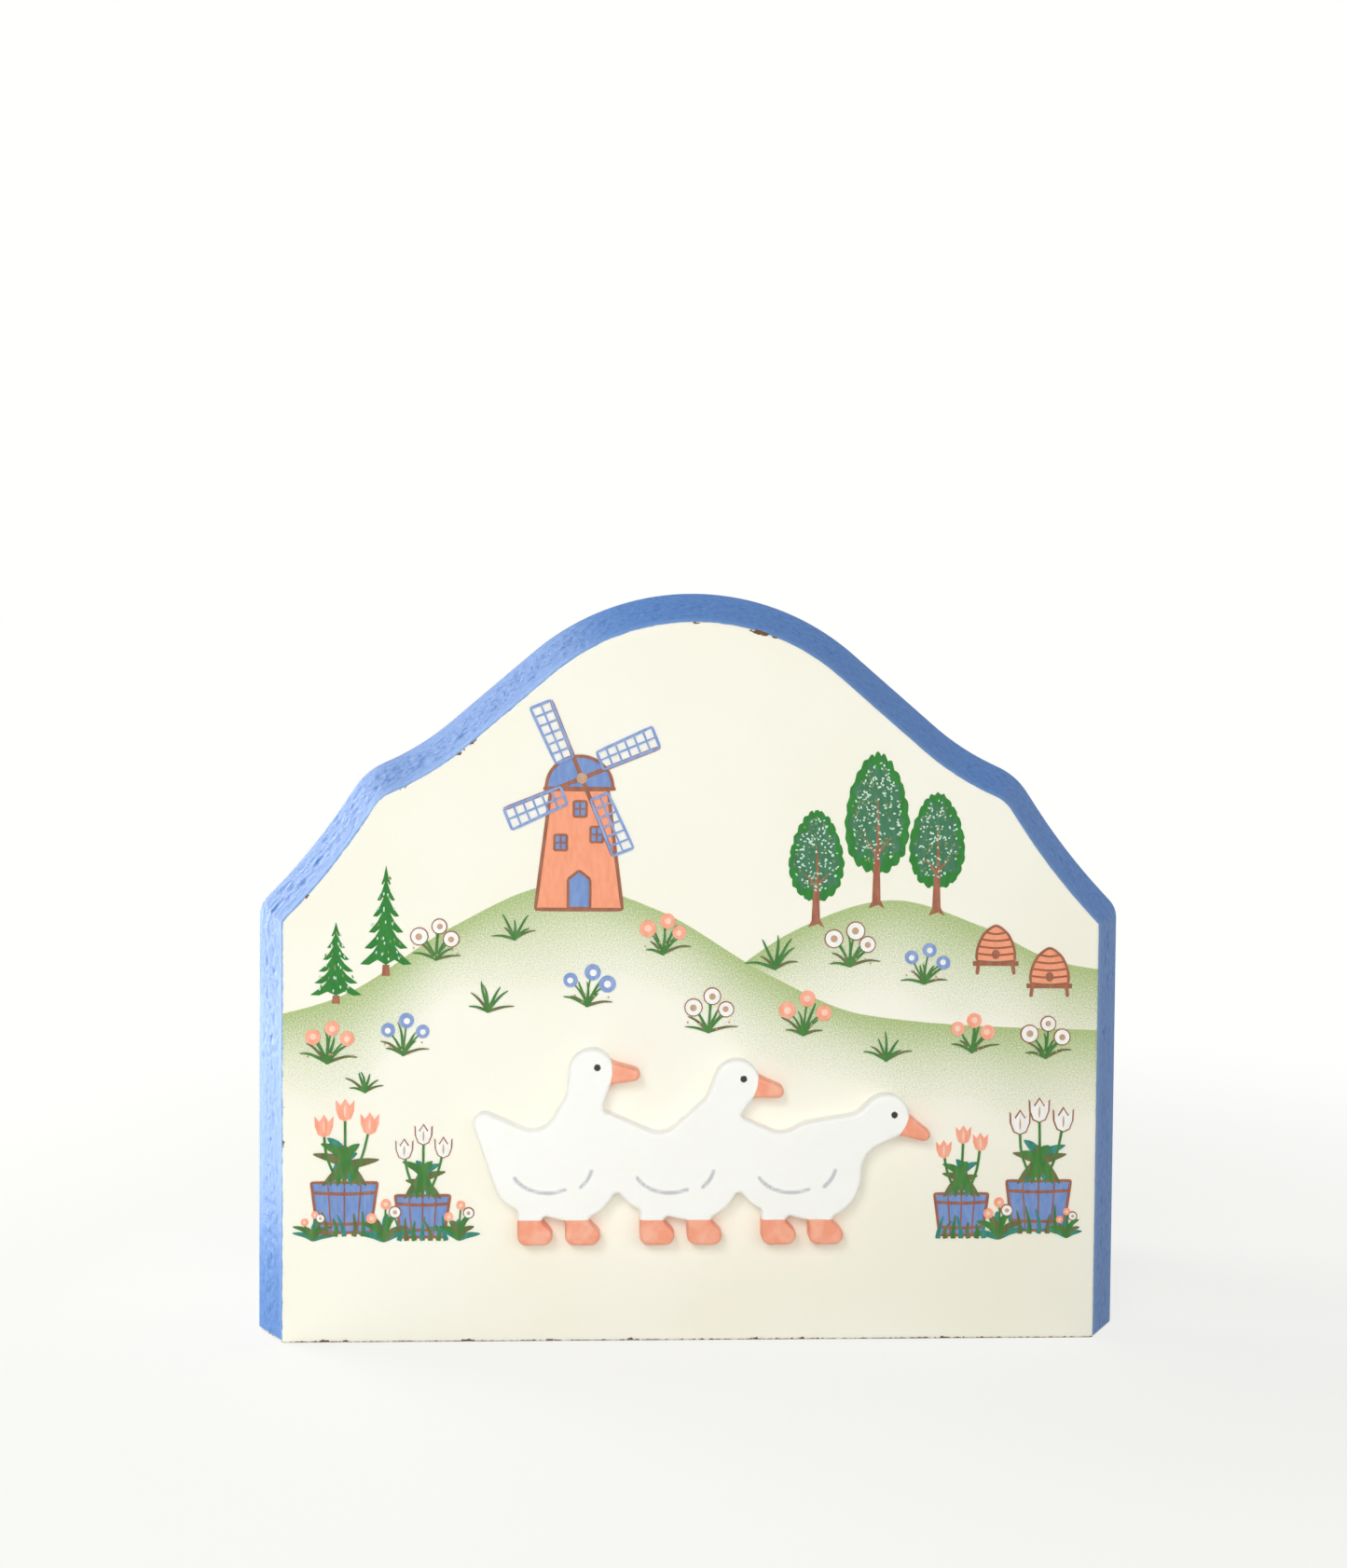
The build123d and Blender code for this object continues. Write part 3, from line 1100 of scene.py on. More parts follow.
@dataclass(frozen=True)
class Goose:
    """Where one goose of the cut-out stands, and its painted features, on the sizes of the CAD source."""

    x: float
    head_reach: float
    head_rise: float
    dip: float
    floor: float = 17.5
    body_height: float = 12.4
    half_body: float = 3.5
    head_radius: float = 3.9
    beak_length: float = 9.2
    beak_half: float = 3.4
    beak_bow: float = 0.12
    beak_lap: float = 0.4
    foot_half: float = 9.0
    foot_height: float = 4.5
    eye_shift: float = 0.9
    eye_radius: float = 0.62
    wing_shift: Point = (-0.6, 1.4)
    wing_arcs: tuple[tuple[float, float, float, float], ...] = ((6.2, 4.6, 205, 300), (7.6, 5.4, 318, 352))
    reach: float = 34.0

    def head(self) -> tuple[Vector, Vector]:
        """Find the head.

        Returns:
            The middle of the head and the heading of the beak.
        """
        x, z = self.x + self.half_body + self.head_reach, self.floor + self.body_height + self.head_rise
        dip = math.radians(self.dip)
        return Vector((x, z)), Vector((math.cos(dip), -math.sin(dip)))

    def bill_gap(self, spot: Vector) -> float:
        """Measure how far a spot is outside the coral of the beak and the feet.

        Args:
            spot: place on the front.

        Returns:
            The distance, less than nothing inside.
        """
        head, way = self.head()
        start = self.head_radius - self.beak_lap
        along = (spot - head).dot(way) - start
        across = abs((spot - head).dot(left_of(way)))
        past_tip = along + start - self.beak_length
        beak = max(-along - self.beak_bow * across, across - self.beak_half, past_tip)
        foot = max(spot.y - self.floor - self.foot_height, abs(spot.x - self.x) - self.foot_half)
        return min(beak, foot)

    def eye_gap(self, spot: Vector) -> float:
        """Return how far a spot is outside the eye."""
        head, way = self.head()
        return (spot - head - (way + left_of(way)) * self.eye_shift).length - self.eye_radius

    def wing(self) -> list[list[Vector]]:
        """Draw the wing's brush strokes.

        Returns:
            The strokes as lines of points.
        """
        middle = Vector((self.x, self.floor + self.body_height)) + Vector(self.wing_shift)
        return [
            [middle + Vector((wide * math.cos(a), tall * math.sin(a))) for a in arc_angles(start, end)]
            for wide, tall, start, end in self.wing_arcs
        ]


@dataclass
class GeeseCutout:
    """Three geese sawn from one thin board and glued to the front panel's face."""

    finish: GooseEnamel
    geese: tuple[Goose, ...] = (
        Goose(-24.5, 3.4, 17.6, 4.0),
        Goose(-3.5, 7.4, 15.8, 13.0),
        Goose(17.5, 12.4, 9.8, 26.0),
    )
    back: float = -PANEL_FACE
    thickness: float = 3.0
    ease: float = 0.7
    ease_steps: int = 5
    step: float = 0.35
    pitch: float = 0.5
    stroke_half: float = 0.3

    def silhouette(self) -> list[Vector]:
        """Read the cut-out's outline from the CAD node's back face, at even steps.

        Returns:
            The outline's points in order.
        """
        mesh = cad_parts["geese_cutout"].data
        flat = max(v.co.y for v in mesh.vertices)
        uses: dict[tuple[int, int], int] = {}
        for face in mesh.polygons:
            if all(abs(mesh.vertices[v].co.y - flat) < 1e-6 for v in face.vertices):
                for key in face.edge_keys:
                    uses[key] = uses.get(key, 0) + 1
        spots: dict[Point, Vector] = {}
        joined: dict[Point, set[Point]] = {}
        for rim_edge in (key for key, count in uses.items() if count == 1):
            ends = []
            for v in rim_edge:
                co = mesh.vertices[v].co / MM
                ends.append((round(co.x, 3), round(co.z, 3)))
                spots[ends[-1]] = Vector((co.x, co.z))
            for here, there in (ends, ends[::-1]):
                joined.setdefault(here, set()).add(there)
        loop = [min(spots)]
        while ahead := [k for k in joined[loop[-1]] if k not in loop]:
            loop.append(min(ahead))
        line = [spots[k] for k in loop]
        even: list[Vector] = []
        for a, b in zip(line, line[1:] + line[:1]):
            count = max(1, round((b - a).length / self.step))
            even += [a.lerp(b, k / count) for k in range(count)]
        return even

    def build(self) -> Piece:
        """Build the cut-out with round front edges, and dress it with its painted features.

        Returns:
            The cut-out's piece.
        """
        sketch = Sketch()
        outline = self.silhouette()
        ways = inward_ways(outline)
        front = self.back - self.thickness
        levels = [(0.0, self.back)]
        for a in arc_angles(0, 90, self.ease_steps):
            levels.append((self.ease * (1 - math.cos(a)), front + self.ease * (1 - math.sin(a))))
        rows = []
        for draw, y in levels:
            spots = [p + n * draw for p, n in zip(outline, ways)]
            rows.append([sketch.add(p.x, y, p.y) for p in spots])
        sketch.strips(rows, closed=True)
        rim = [(sketch.points[n].x, sketch.points[n].z) for n in rows[-1]]
        low, high = ([pick(axis) for axis in zip(*rim)] for pick in (min, max))
        wide, tall = (int((end - start) / self.pitch) for start, end in zip(low, high))
        grid = [
            (low[0] + (i + 0.5 * (j % 2)) * self.pitch, low[1] + j * self.pitch)
            for j in range(1, tall + 1)
            for i in range(1, wide + 1)
        ]
        numbers = rows[-1] + [sketch.add(x, front, z) for x, z in grid]
        sketch.fill(rim + grid, numbers, len(rim))
        sketch.fill([tuple(p) for p in outline], rows[0], len(outline))
        made = sketch.piece("geese_cutout_painted", self.finish, "white_paint", self.masks(sketch))
        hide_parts("geese_cutout")
        return made

    def masks(self, sketch: Sketch) -> dict[str, list[float]]:
        """Measure each point's distance to the painted features.

        Args:
            sketch: the cut-out's mesh.

        Returns:
            Distances outside the bills and feet, the wing strokes and the eyes.
        """
        bills, wings, eyes = [], [], []
        strokes = [(goose, goose.wing()) for goose in self.geese]
        front = self.back - self.thickness
        for point in sketch.points:
            spot = Vector((point.x, point.z))
            near = [(goose, wing) for goose, wing in strokes if abs(spot.x - goose.x) <= goose.reach]
            bills.append(min([FAR] + [goose.bill_gap(spot) for goose, _ in near]))
            eyes.append(min([FAR] + [goose.eye_gap(spot) for goose, _ in near]))
            lines = [line for _, wing in near for line in wing] if point.y < front + 0.1 else []
            wings.append(min([FAR] + [gap_to_line(spot, line) - self.stroke_half for line in lines]))
        return {"bill": bills, "wing": wings, "eye": eyes}


class Ink(Enum):
    """The coats of the painted picture, from the lowest to the highest."""

    WHITE_GROUND = CraftAcrylic("white_craft_acrylic_ground", "FBFAF2", "F3F1E2", "white_paint")
    CORAL_GROUND = CraftAcrylic("coral_craft_acrylic_ground", "F9A581", "F59B75", "coral_paint")
    BLUE_GROUND = CraftAcrylic("blue_craft_acrylic_ground", "6C8CC8", "7D9ACF", "blue_edge_paint")
    FOREST = CraftAcrylic("forest_green_craft_acrylic", "0A7016", "1C7C26", "green_paint")
    SHADE = CraftAcrylic("spruce_green_craft_acrylic", "2C6A47", "3B7655", "green_paint")
    TRUNK = CraftAcrylic("bark_brown_craft_acrylic", "97583D", "A86B4E", "brown_paint")
    DAB_GREEN = CraftAcrylic("moss_green_craft_acrylic", "76884C", "8A9A66", "green_paint")
    DAB_PALE = CraftAcrylic("pale_mint_craft_acrylic", "D6ECDD", "BFE0CC", "white_paint")
    LINE = CraftAcrylic("russet_craft_acrylic_line", "93563C", "A2674C", "brown_paint")
    TEAL = CraftAcrylic("teal_craft_acrylic_leaf", "1F7A68", "3C8C7C", "green_paint")
    OLIVE = CraftAcrylic("olive_craft_acrylic_leaf", "57602B", "6A7140", "green_paint")
    BLADE = CraftAcrylic("grass_green_craft_acrylic", "2E7024", "447F36", "green_paint")
    CORAL = CraftAcrylic("coral_craft_acrylic_bloom", "F9A183", "FBB59B", "coral_paint")
    BLUE = CraftAcrylic("blue_craft_acrylic_bloom", "7C97CE", "92A9D8", "blue_edge_paint")
    WHITE = CraftAcrylic("white_craft_acrylic_bloom", "FCFCF8", "F2F3EE", "white_paint")
    HEART = CraftAcrylic("peach_craft_acrylic_dot", "FCCDB4", "FADCCB", "coral_paint")
    SEED = CraftAcrylic("tan_craft_acrylic_dot", "C29A7C", "CDAA90", "brown_paint")


# What the middle of a bloom is painted with.
HEARTS = {Ink.CORAL: Ink.HEART, Ink.BLUE: Ink.WHITE, Ink.WHITE: Ink.SEED}


class Brush(Enum):
    """How a stroke's width runs from its start to its end."""

    LINER = "even"
    BLADE = "pointed tip"
    LEAF = "pointed ends"

    def width(self, t: float) -> float:
        """Share out a stroke's width.

        Args:
            t: place along the stroke, from 0 to 1.

        Returns:
            The share of the full width there.
        """
        if self is Brush.LINER:
            return 1.0 if 0.02 < t < 0.98 else 0.7
        if self is Brush.BLADE:
            return 0.12 + 0.88 * (1 - t) ** 0.75 if t > 0.06 else 0.75
        return max(0.1, math.sin(math.pi * min(max(t, 0.02), 0.98)) ** 0.8)


class Film(Sketch):
    """One coat of the picture: thin closed bodies of dry paint on the panel's face."""

    # Each body is a hair higher than the one laid before it, for this many bodies, then it starts again.
    # All of them root a little below the face.
    hair = 0.0006
    hairs = 20
    root = 0.03

    def __init__(self, paint: CraftAcrylic, face: float, lift: float) -> None:
        """Start an empty coat.

        Args:
            paint: its paint.
            face: Y of the panel's face.
            lift: how far the coat stands above the face.
        """
        super().__init__()
        self.paint = paint
        self.face = face
        self.lift = lift
        self.laid = 0

    def blot(self, outline: Sequence[Point | Vector]) -> None:
        """Add a filled shape, so that no two lie in one plane.

        Args:
            outline: its points, in order.
        """
        first, count = len(self.points), len(outline)
        top = self.face - self.lift - self.laid % self.hairs * self.hair
        self.laid += 1
        for y in (top, self.face + self.root):
            self.points += [Vector((x, y, z)) for x, z in outline]
        front, back = range(first, first + count), range(first + count, first + 2 * count)
        self.faces += [tuple(front), tuple(reversed(back))]
        for k in range(count):
            j = (k + 1) % count
            self.faces.append((front[j], front[k], back[k], back[j]))

    def build(self) -> Piece:
        """Make the coat's piece and return it."""
        return self.piece(f"film_{self.paint.name}", self.paint, self.paint.slot)


@dataclass
class Coats:
    """The films of the picture, one for each ink, and the hand that paints on them."""

    face: float = -PANEL_FACE
    first_lift: float = 0.04
    lift_step: float = 0.014
    seed: int = 41
    films: dict[Ink, Film] = field(init=False)
    draw: random.Random = field(init=False)

    def __post_init__(self) -> None:
        """Open the films, each above the one before."""
        lifts = [self.first_lift + k * self.lift_step for k in range(len(Ink))]
        self.films = {ink: Film(ink.value, self.face, lift) for ink, lift in zip(Ink, lifts)}
        self.draw = random.Random(self.seed)

    def shake(self, amount: float) -> float:
        """Return a small offset of the painter's hand."""
        return self.draw.uniform(-amount, amount)

    def near(self, x: float, z: float, amount: float) -> Point:
        """Return a place near x, z, as the hand hits it."""
        return x + self.shake(amount), z + self.shake(amount)

    def stroke(self, ink: Ink, points: Sequence[Point], width: float, brush: Brush = Brush.LINER) -> None:
        """Paint a brush stroke.

        Args:
            ink: its coat.
            points: places along it.
            width: its full width.
            brush: how its width runs.
        """
        line = smooth_line(points)
        last = len(line) - 1
        sides: tuple[list[Vector], list[Vector]] = ([], [])
        for k, spot in enumerate(line):
            way = (line[min(k + 1, last)] - line[max(k - 1, 0)]).normalized()
            half = left_of(way) * (width / 2 * brush.width(k / last))
            sides[0].append(spot + half)
            sides[1].append(spot - half)
        self.films[ink].blot(sides[1] + sides[0][::-1])

    def dot(self, ink: Ink, spot: Point, radius: float, tall: float = 1.0, count: int = 14) -> None:
        """Paint a round or oval dot.

        Args:
            ink: its coat.
            spot: its middle.
            radius: half its width.
            tall: height as a share of the width.
            count: points on its edge.
        """
        angles = [2 * math.pi * k / count for k in range(count)]
        self.films[ink].blot(moved([(math.cos(a), tall * math.sin(a)) for a in angles], *spot, radius))

    def lined(self, ink: Ink, corners: Sequence[Point], line: float, unsteady: float = 0.06) -> None:
        """Paint a straight-sided shape and line it in russet.

        Args:
            ink: the fill's coat.
            corners: the shape's corners.
            line: the lining's width.
            unsteady: how far the lining strays.
        """
        self.films[ink].blot(corners)
        for a, b in zip(corners, list(corners[1:]) + [corners[0]]):
            mid = self.near((a[0] + b[0]) / 2, (a[1] + b[1]) / 2, unsteady)
            self.stroke(Ink.LINE, [a, mid, b], line)

    def bloom(self, petals: Ink, spot: Point, radius: float, heart: Point, heart_radius: float) -> None:
        """Paint a round bloom, lined if it is white.

        Args:
            petals: its coat.
            spot: its middle.
            radius: its radius.
            heart: middle of its heart.
            heart_radius: the heart's radius.
        """
        if petals is Ink.WHITE:
            self.dot(Ink.LINE, spot, radius + 0.2)
        self.dot(petals, spot, radius)
        self.dot(HEARTS[petals], heart, heart_radius)


@dataclass(frozen=True)
class Windmill:
    """A tower mill with a blue cap and four lattice sails."""

    x: float
    z: float
    tower: tuple[Point, ...] = ((-7.5, -1.8), (7.5, -1.8), (4.9, 19), (-4.9, 19))
    cap: Point = (5.8, 5.6)
    eaves: tuple[Point, ...] = ((-6.2, 19), (0, 18.9), (6.2, 19))
    door: tuple[Point, ...] = ((-1.9, -1.6), (1.9, -1.6), (1.9, 3.4), (0, 4.9), (-1.9, 3.4))
    windows: tuple[Point, ...] = ((-3.2, 8.4), (3.0, 9.8), (0.1, 14.2))
    pane_half: float = 1.1
    pane_height: float = 2.6
    hub: Point = (0.4, 20.8)
    hub_radius: float = 0.95
    sail_turns: tuple[float, ...] = (22, 112, 202, 292)
    sail_reach: Range = (4.0, 14.4)
    sail_width: Range = (3.2, 3.8)
    battens: int = 5
    batten: float = 0.34

    def paint(self, coats: Coats) -> None:
        """Paint the tower with its cap, door and windows, and then the sails.

        Args:
            coats: the picture's coats.
        """
        coats.lined(Ink.CORAL_GROUND, moved(self.tower, self.x, self.z), 0.6)
        wide, tall = self.cap
        dome = [(wide * math.cos(a), tall * math.sin(a)) for a in arc_angles(0, 180, 14)]
        dome = moved(dome, self.x, self.z + self.tower[-1][1])
        coats.films[Ink.BLUE_GROUND].blot(dome)
        coats.stroke(Ink.LINE, dome[::2], 0.55)
        coats.stroke(Ink.LINE, moved(self.eaves, self.x, self.z), 0.7)
        coats.lined(Ink.BLUE_GROUND, moved(self.door, self.x, self.z), 0.45)
        half, height = self.pane_half, self.pane_height
        pane = ((-half, 0), (half, 0), (half, height), (-half, height))
        for x, z in moved(self.windows, self.x, self.z):
            coats.lined(Ink.BLUE_GROUND, moved(pane, x, z), 0.4)
            for bar in (((0, 0), (0, height)), ((-half, height / 2), (half, height / 2))):
                coats.stroke(Ink.LINE, moved(bar, x, z), 0.28)
        hub = Vector((self.x + self.hub[0], self.z + self.hub[1]))
        for turn in self.sail_turns:
            self.sail(coats, hub, math.radians(turn))
        coats.dot(Ink.SEED, tuple(hub), self.hub_radius)

    def sail(self, coats: Coats, hub: Vector, turn: float) -> None:
        """Paint one sail: white cloth in a blue lattice on a russet arm.

        Args:
            coats: the picture's coats.
            hub: where the sails meet.
            turn: the arm's angle in radians.
        """
        way = Vector((math.cos(turn), math.sin(turn)))
        side = left_of(way)
        start, end = (hub + way * reach for reach in self.sail_reach)
        near, far = self.sail_width
        cloth = [start, end, end + side * far, start + side * near]
        coats.films[Ink.WHITE_GROUND].blot(cloth)
        for a, b in zip(cloth, cloth[1:] + cloth[:1]):
            coats.stroke(Ink.BLUE, [a, b], 0.5)
        spaces = self.battens + 1
        for k in range(1, spaces):
            out = start.lerp(end, k / spaces)
            coats.stroke(Ink.BLUE, [out, out + side * (near + (far - near) * k / spaces)], self.batten)
        coats.stroke(Ink.BLUE, [start + side * 1.7, end + side * 1.9], self.batten)
        coats.stroke(Ink.LINE, [hub, hub + way * 7, end], 0.7)


@dataclass(frozen=True)
class Poplar:
    """A tall leafy tree with dabbed foliage, rooted a little below a hill's crest."""

    x: float
    height: float
    width: float
    sunk: float = 1.2
    bare: float = 0.24
    fork: float = 0.34
    taper: float = 0.22
    lobes: int = 22
    lobe_points: int = 4
    lobe_swell: float = 0.055
    lobe_shake: float = 0.02
    shade_share: float = 0.8
    shade_step: float = 0.06
    dabs: float = 0.85
    dab_spread: float = 0.86
    dab_field: Point = (0.86, 0.93)
    dab_reach: Range = (0.3, 0.62)
    dab_width: Range = (0.22, 0.36)

    def leafy(self, z: float, angle: float, wide: float, tall: float) -> Point:
        """Find a place in the foliage.

        Args:
            z: foot of the trunk.
            angle: direction from the foliage's middle.
            wide, tall: distance from it, as shares of the foliage's half width and half height.

        Returns:
            The place.
        """
        half = self.height * (1 - self.bare) / 2
        x = self.x + self.width / 2 * wide * (1 - self.taper * math.sin(angle)) * math.cos(angle)
        return x, z + self.bare * self.height + half + half * tall * math.sin(angle)

    def paint(self, coats: Coats, hill: Hill) -> None:
        """Paint the foliage, the trunk and the dabs on a hill.

        Args:
            coats: the picture's coats.
            hill: the hill that the tree stands on.
        """
        z = hill.crest(self.x) - self.sunk
        rim = []
        count = self.lobes * self.lobe_points
        for k in range(count):
            a = 2 * math.pi * k / count
            lobe = self.lobe_swell * abs(math.sin(a * self.lobes / 2))
            swell = 1 + lobe + self.lobe_shake * coats.shake(1)
            rim.append(self.leafy(z, a, swell, swell))
        coats.films[Ink.FOREST].blot(rim)
        core = Vector(self.leafy(z, 0.0, 0.0, 0.0))
        shade = []
        for k, spot in enumerate(rim[::2]):
            shade.append(core.lerp(Vector(spot), self.shade_share + self.shade_step * (k % 5 - 2)))
        coats.films[Ink.SHADE].blot(shade)
        self.trunk(coats, z)
        draw = coats.draw
        wide, tall = self.dab_field
        for _ in range(int(self.height * self.width * self.dabs)):
            a, r = draw.uniform(0, 2 * math.pi), math.sqrt(draw.uniform(0, self.dab_spread))
            x, z_dab = self.leafy(z, a, wide * r, tall * r)
            lean = draw.uniform(0, math.pi)
            reach = draw.uniform(*self.dab_reach)
            tip = (x + reach * math.cos(lean), z_dab + reach * math.sin(lean))
            ink = draw.choice((Ink.DAB_PALE, Ink.DAB_PALE, Ink.DAB_GREEN))
            coats.stroke(ink, [(x, z_dab), tip], draw.uniform(*self.dab_width), Brush.LEAF)

    def trunk(self, coats: Coats, z: float) -> None:
        """Paint the trunk on its spread roots, and its three boughs.

        Args:
            coats: the picture's coats.
            z: foot of the trunk.
        """
        tall, fork = self.height, self.height * self.fork
        stem = ((-1.3, 0), (-0.75, 1.2), (-0.5, fork), (0.5, fork), (0.7, 1.4), (1.5, -0.1), (0.35, 0.6))
        coats.films[Ink.TRUNK].blot(moved(stem, self.x, z))
        leader = ((0, tall * 0.3), (0.2, tall * 0.5), (0, tall * 0.72))
        coats.stroke(Ink.TRUNK, moved(leader, self.x, z), 0.7, Brush.BLADE)
        for side in (-self.width, self.width):
            bough = ((0, fork), (side * 0.13, tall * 0.42), (side * 0.25, tall * 0.47))
            coats.stroke(Ink.TRUNK, moved(bough, self.x, z), 0.5, Brush.BLADE)


@dataclass(frozen=True)
class Fir:
    """A small fir of hanging skirts. A skirt's points are shares of its half width and its drop.

    The drop and the half width are those of the top skirt, and what each one below adds to them.
    """

    x: float
    height: float
    sunk: float = 1.0
    tiers: int = 6
    tier_step: float = 0.12
    skirt_drop: Point = (0.17, 0.025)
    skirt_half: Point = (0.8, 0.72)
    skirt: tuple[Point, ...] = (
        (0, 0), (0.5, -0.62), (1, -1), (0.66, -1.02), (0.33, -0.86),
        (0, -1.02), (-0.33, -0.86), (-0.66, -1.02), (-1, -1), (-0.5, -0.62),
    )

    def paint(self, coats: Coats, hill: Hill) -> None:
        """Paint the trunk, and the skirts from the top down.

        Args:
            coats: the picture's coats.
            hill: the hill that the tree stands on.
        """
        z = hill.crest(self.x) - self.sunk
        stump = 0.1 * self.height
        coats.films[Ink.TRUNK].blot(moved(((-0.7, 0), (0.7, 0), (0.55, stump), (-0.55, stump)), self.x, z))
        draw = coats.draw
        for k in range(self.tiers):
            top = z + self.height * (1 - self.tier_step * k)
            drop = self.height * (self.skirt_drop[0] + self.skirt_drop[1] * k)
            half = self.skirt_half[0] + self.skirt_half[1] * k
            coats.films[Ink.FOREST].blot([(self.x + half * dx, top + drop * dz) for dx, dz in self.skirt])
            for _ in range(3 + k):
                share = draw.uniform(-0.8, 0.8)
                start = (self.x + half * share, top - drop * draw.uniform(0.55, 0.8))
                end = (start[0] + 0.3 * share, start[1] - 0.6)
                coats.stroke(draw.choice((Ink.DAB_PALE, Ink.DAB_GREEN)), [start, end], 0.26, Brush.LEAF)


@dataclass(frozen=True)
class Hive:
    """A coiled hive on a low stand. Its coils are half widths and heights."""

    x: float
    z: float
    coils: tuple[Point, ...] = ((3.3, 0.0), (3.35, 1.25), (3.1, 2.5), (2.6, 3.75), (1.8, 4.95))
    top: float = 6.1
    stand: tuple[Point, ...] = ((-4, -0.9), (4, -0.9), (4, -0.1), (-4, -0.1))

    def paint(self, coats: Coats) -> None:
        """Paint the hive's dome, its coils, its door and the stand.

        Args:
            coats: the picture's coats.
        """
        dome = list(self.coils) + [(0, self.top)] + [(-wide, rise) for wide, rise in reversed(self.coils)]
        dome = moved(dome, self.x, self.z)
        coats.films[Ink.CORAL_GROUND].blot(smooth_line(dome, 3))
        coats.stroke(Ink.LINE, dome, 0.42)
        for wide, rise in self.coils:
            coil = ((-wide, rise), (0, rise - 0.3), (wide, rise))
            coats.stroke(Ink.LINE, moved(coil, self.x, self.z), 0.32)
        coats.dot(Ink.TRUNK, (self.x, self.z + 1.1), 0.7, 1.2)
        coats.films[Ink.TRUNK].blot(moved(self.stand, self.x, self.z))
        for leg in (-3, 3):
            coats.stroke(Ink.TRUNK, moved(((leg, -0.6), (leg * 1.08, -2.4)), self.x, self.z), 0.6)


@dataclass(frozen=True)
class Tuft:
    """A tuft of grass, with three flowers unless it has no petals."""

    x: float
    z: float
    petals: Ink | None = None
    sizes: Range = (1.1, 1.4)
    blades: int = 7
    blade_turn: float = 23.0
    blade_reach: Range = (2.6, 4.6)
    blade_width: float = 0.46
    blade_bend: float = 0.35
    inner_blade: float = 1.15
    outer_blade: float = 0.95
    olive_blades: tuple[int, ...] = (0, 5)
    stems: tuple[Point, ...] = ((-2.0, 3.3), (0.5, 4.6), (2.4, 3.0))
    stem_width: float = 0.26
    bloom_radius: Range = (0.92, 1.12)
    seeds: int = 5
    seed_radius: float = 0.16

    def paint(self, coats: Coats) -> None:
        """Paint the blades, and then the flowers and some seeds.

        Args:
            coats: the picture's coats.
        """
        size = coats.draw.uniform(*self.sizes)
        for k in range(self.blades):
            self.blade(coats, size, k)
        if self.petals is None:
            return
        for dx, dz in self.stems:
            spot = coats.near(self.x + dx * size, self.z + dz * size, 0.35)
            stem = [(self.x, self.z + 0.4), (self.x + dx * 0.5 * size, self.z + dz * 0.6 * size), spot]
            coats.stroke(Ink.BLADE, stem, self.stem_width)
            radius = size * coats.draw.uniform(*self.bloom_radius)
            coats.bloom(self.petals, spot, radius, coats.near(*spot, 0.1), 0.42 * radius)
        for _ in range(self.seeds):
            spot = (self.x + coats.shake(3.2) * size, self.z + coats.draw.uniform(0.4, 2.2))
            coats.dot(Ink.SEED, spot, self.seed_radius, count=8)

    def blade(self, coats: Coats, size: float, k: int) -> None:
        """Paint one blade, longer in the middle of the tuft and bent outwards.

        Args:
            coats: the picture's coats.
            size: the tuft's scale.
            k: the blade's number from the right.
        """
        off = k - self.blades // 2
        lean = math.radians(90 + off * self.blade_turn + coats.shake(8))
        longer = self.inner_blade if abs(off) < 2 else self.outer_blade
        reach = size * coats.draw.uniform(*self.blade_reach) * longer
        bend = math.copysign(self.blade_bend, off - 0.5) * coats.draw.uniform(0.4, 1)
        mid = (self.x + 0.55 * reach * math.cos(lean), self.z + 0.6 * reach * math.sin(lean))
        tip_x = self.x + reach * math.cos(lean - bend * 0.3)
        tip_z = self.z + reach * 0.9 * math.sin(lean + bend * 0.4)
        ink = Ink.OLIVE if k in self.olive_blades else Ink.BLADE
        line = [(self.x + 0.1 * off, self.z), mid, (tip_x, tip_z)]
        coats.stroke(ink, line, self.blade_width * size, Brush.BLADE)


@dataclass(frozen=True)
class LeafFan:
    """Broad leaves that spread from a root. Their middles and tips are shares of their reach."""

    inks: tuple[Ink, ...]
    turn: float
    unsteady: float
    reach: Range
    middle: Point
    tip: Point
    width: float
    spread: float = 0.0
    sunk: float = 0.0
    leaves: int = 7

    def paint(self, coats: Coats, x: float, z: float, size: float) -> None:
        """Paint the leaves from right to left.

        Args:
            coats: the picture's coats.
            x, z: the root.
            size: the plant's scale.
        """
        for k in range(self.leaves):
            off = k - self.leaves // 2
            lean = math.radians(90 + off * self.turn + coats.shake(self.unsteady))
            reach = size * coats.draw.uniform(*self.reach)
            root = x + off * self.spread * size
            way = (reach * math.cos(lean), reach * math.sin(lean))
            line = [(root, z - self.sunk)]
            line += [(root + wide * way[0], z + tall * way[1]) for wide, tall in (self.middle, self.tip)]
            coats.stroke(self.inks[k % len(self.inks)], line, self.width * size, Brush.LEAF)


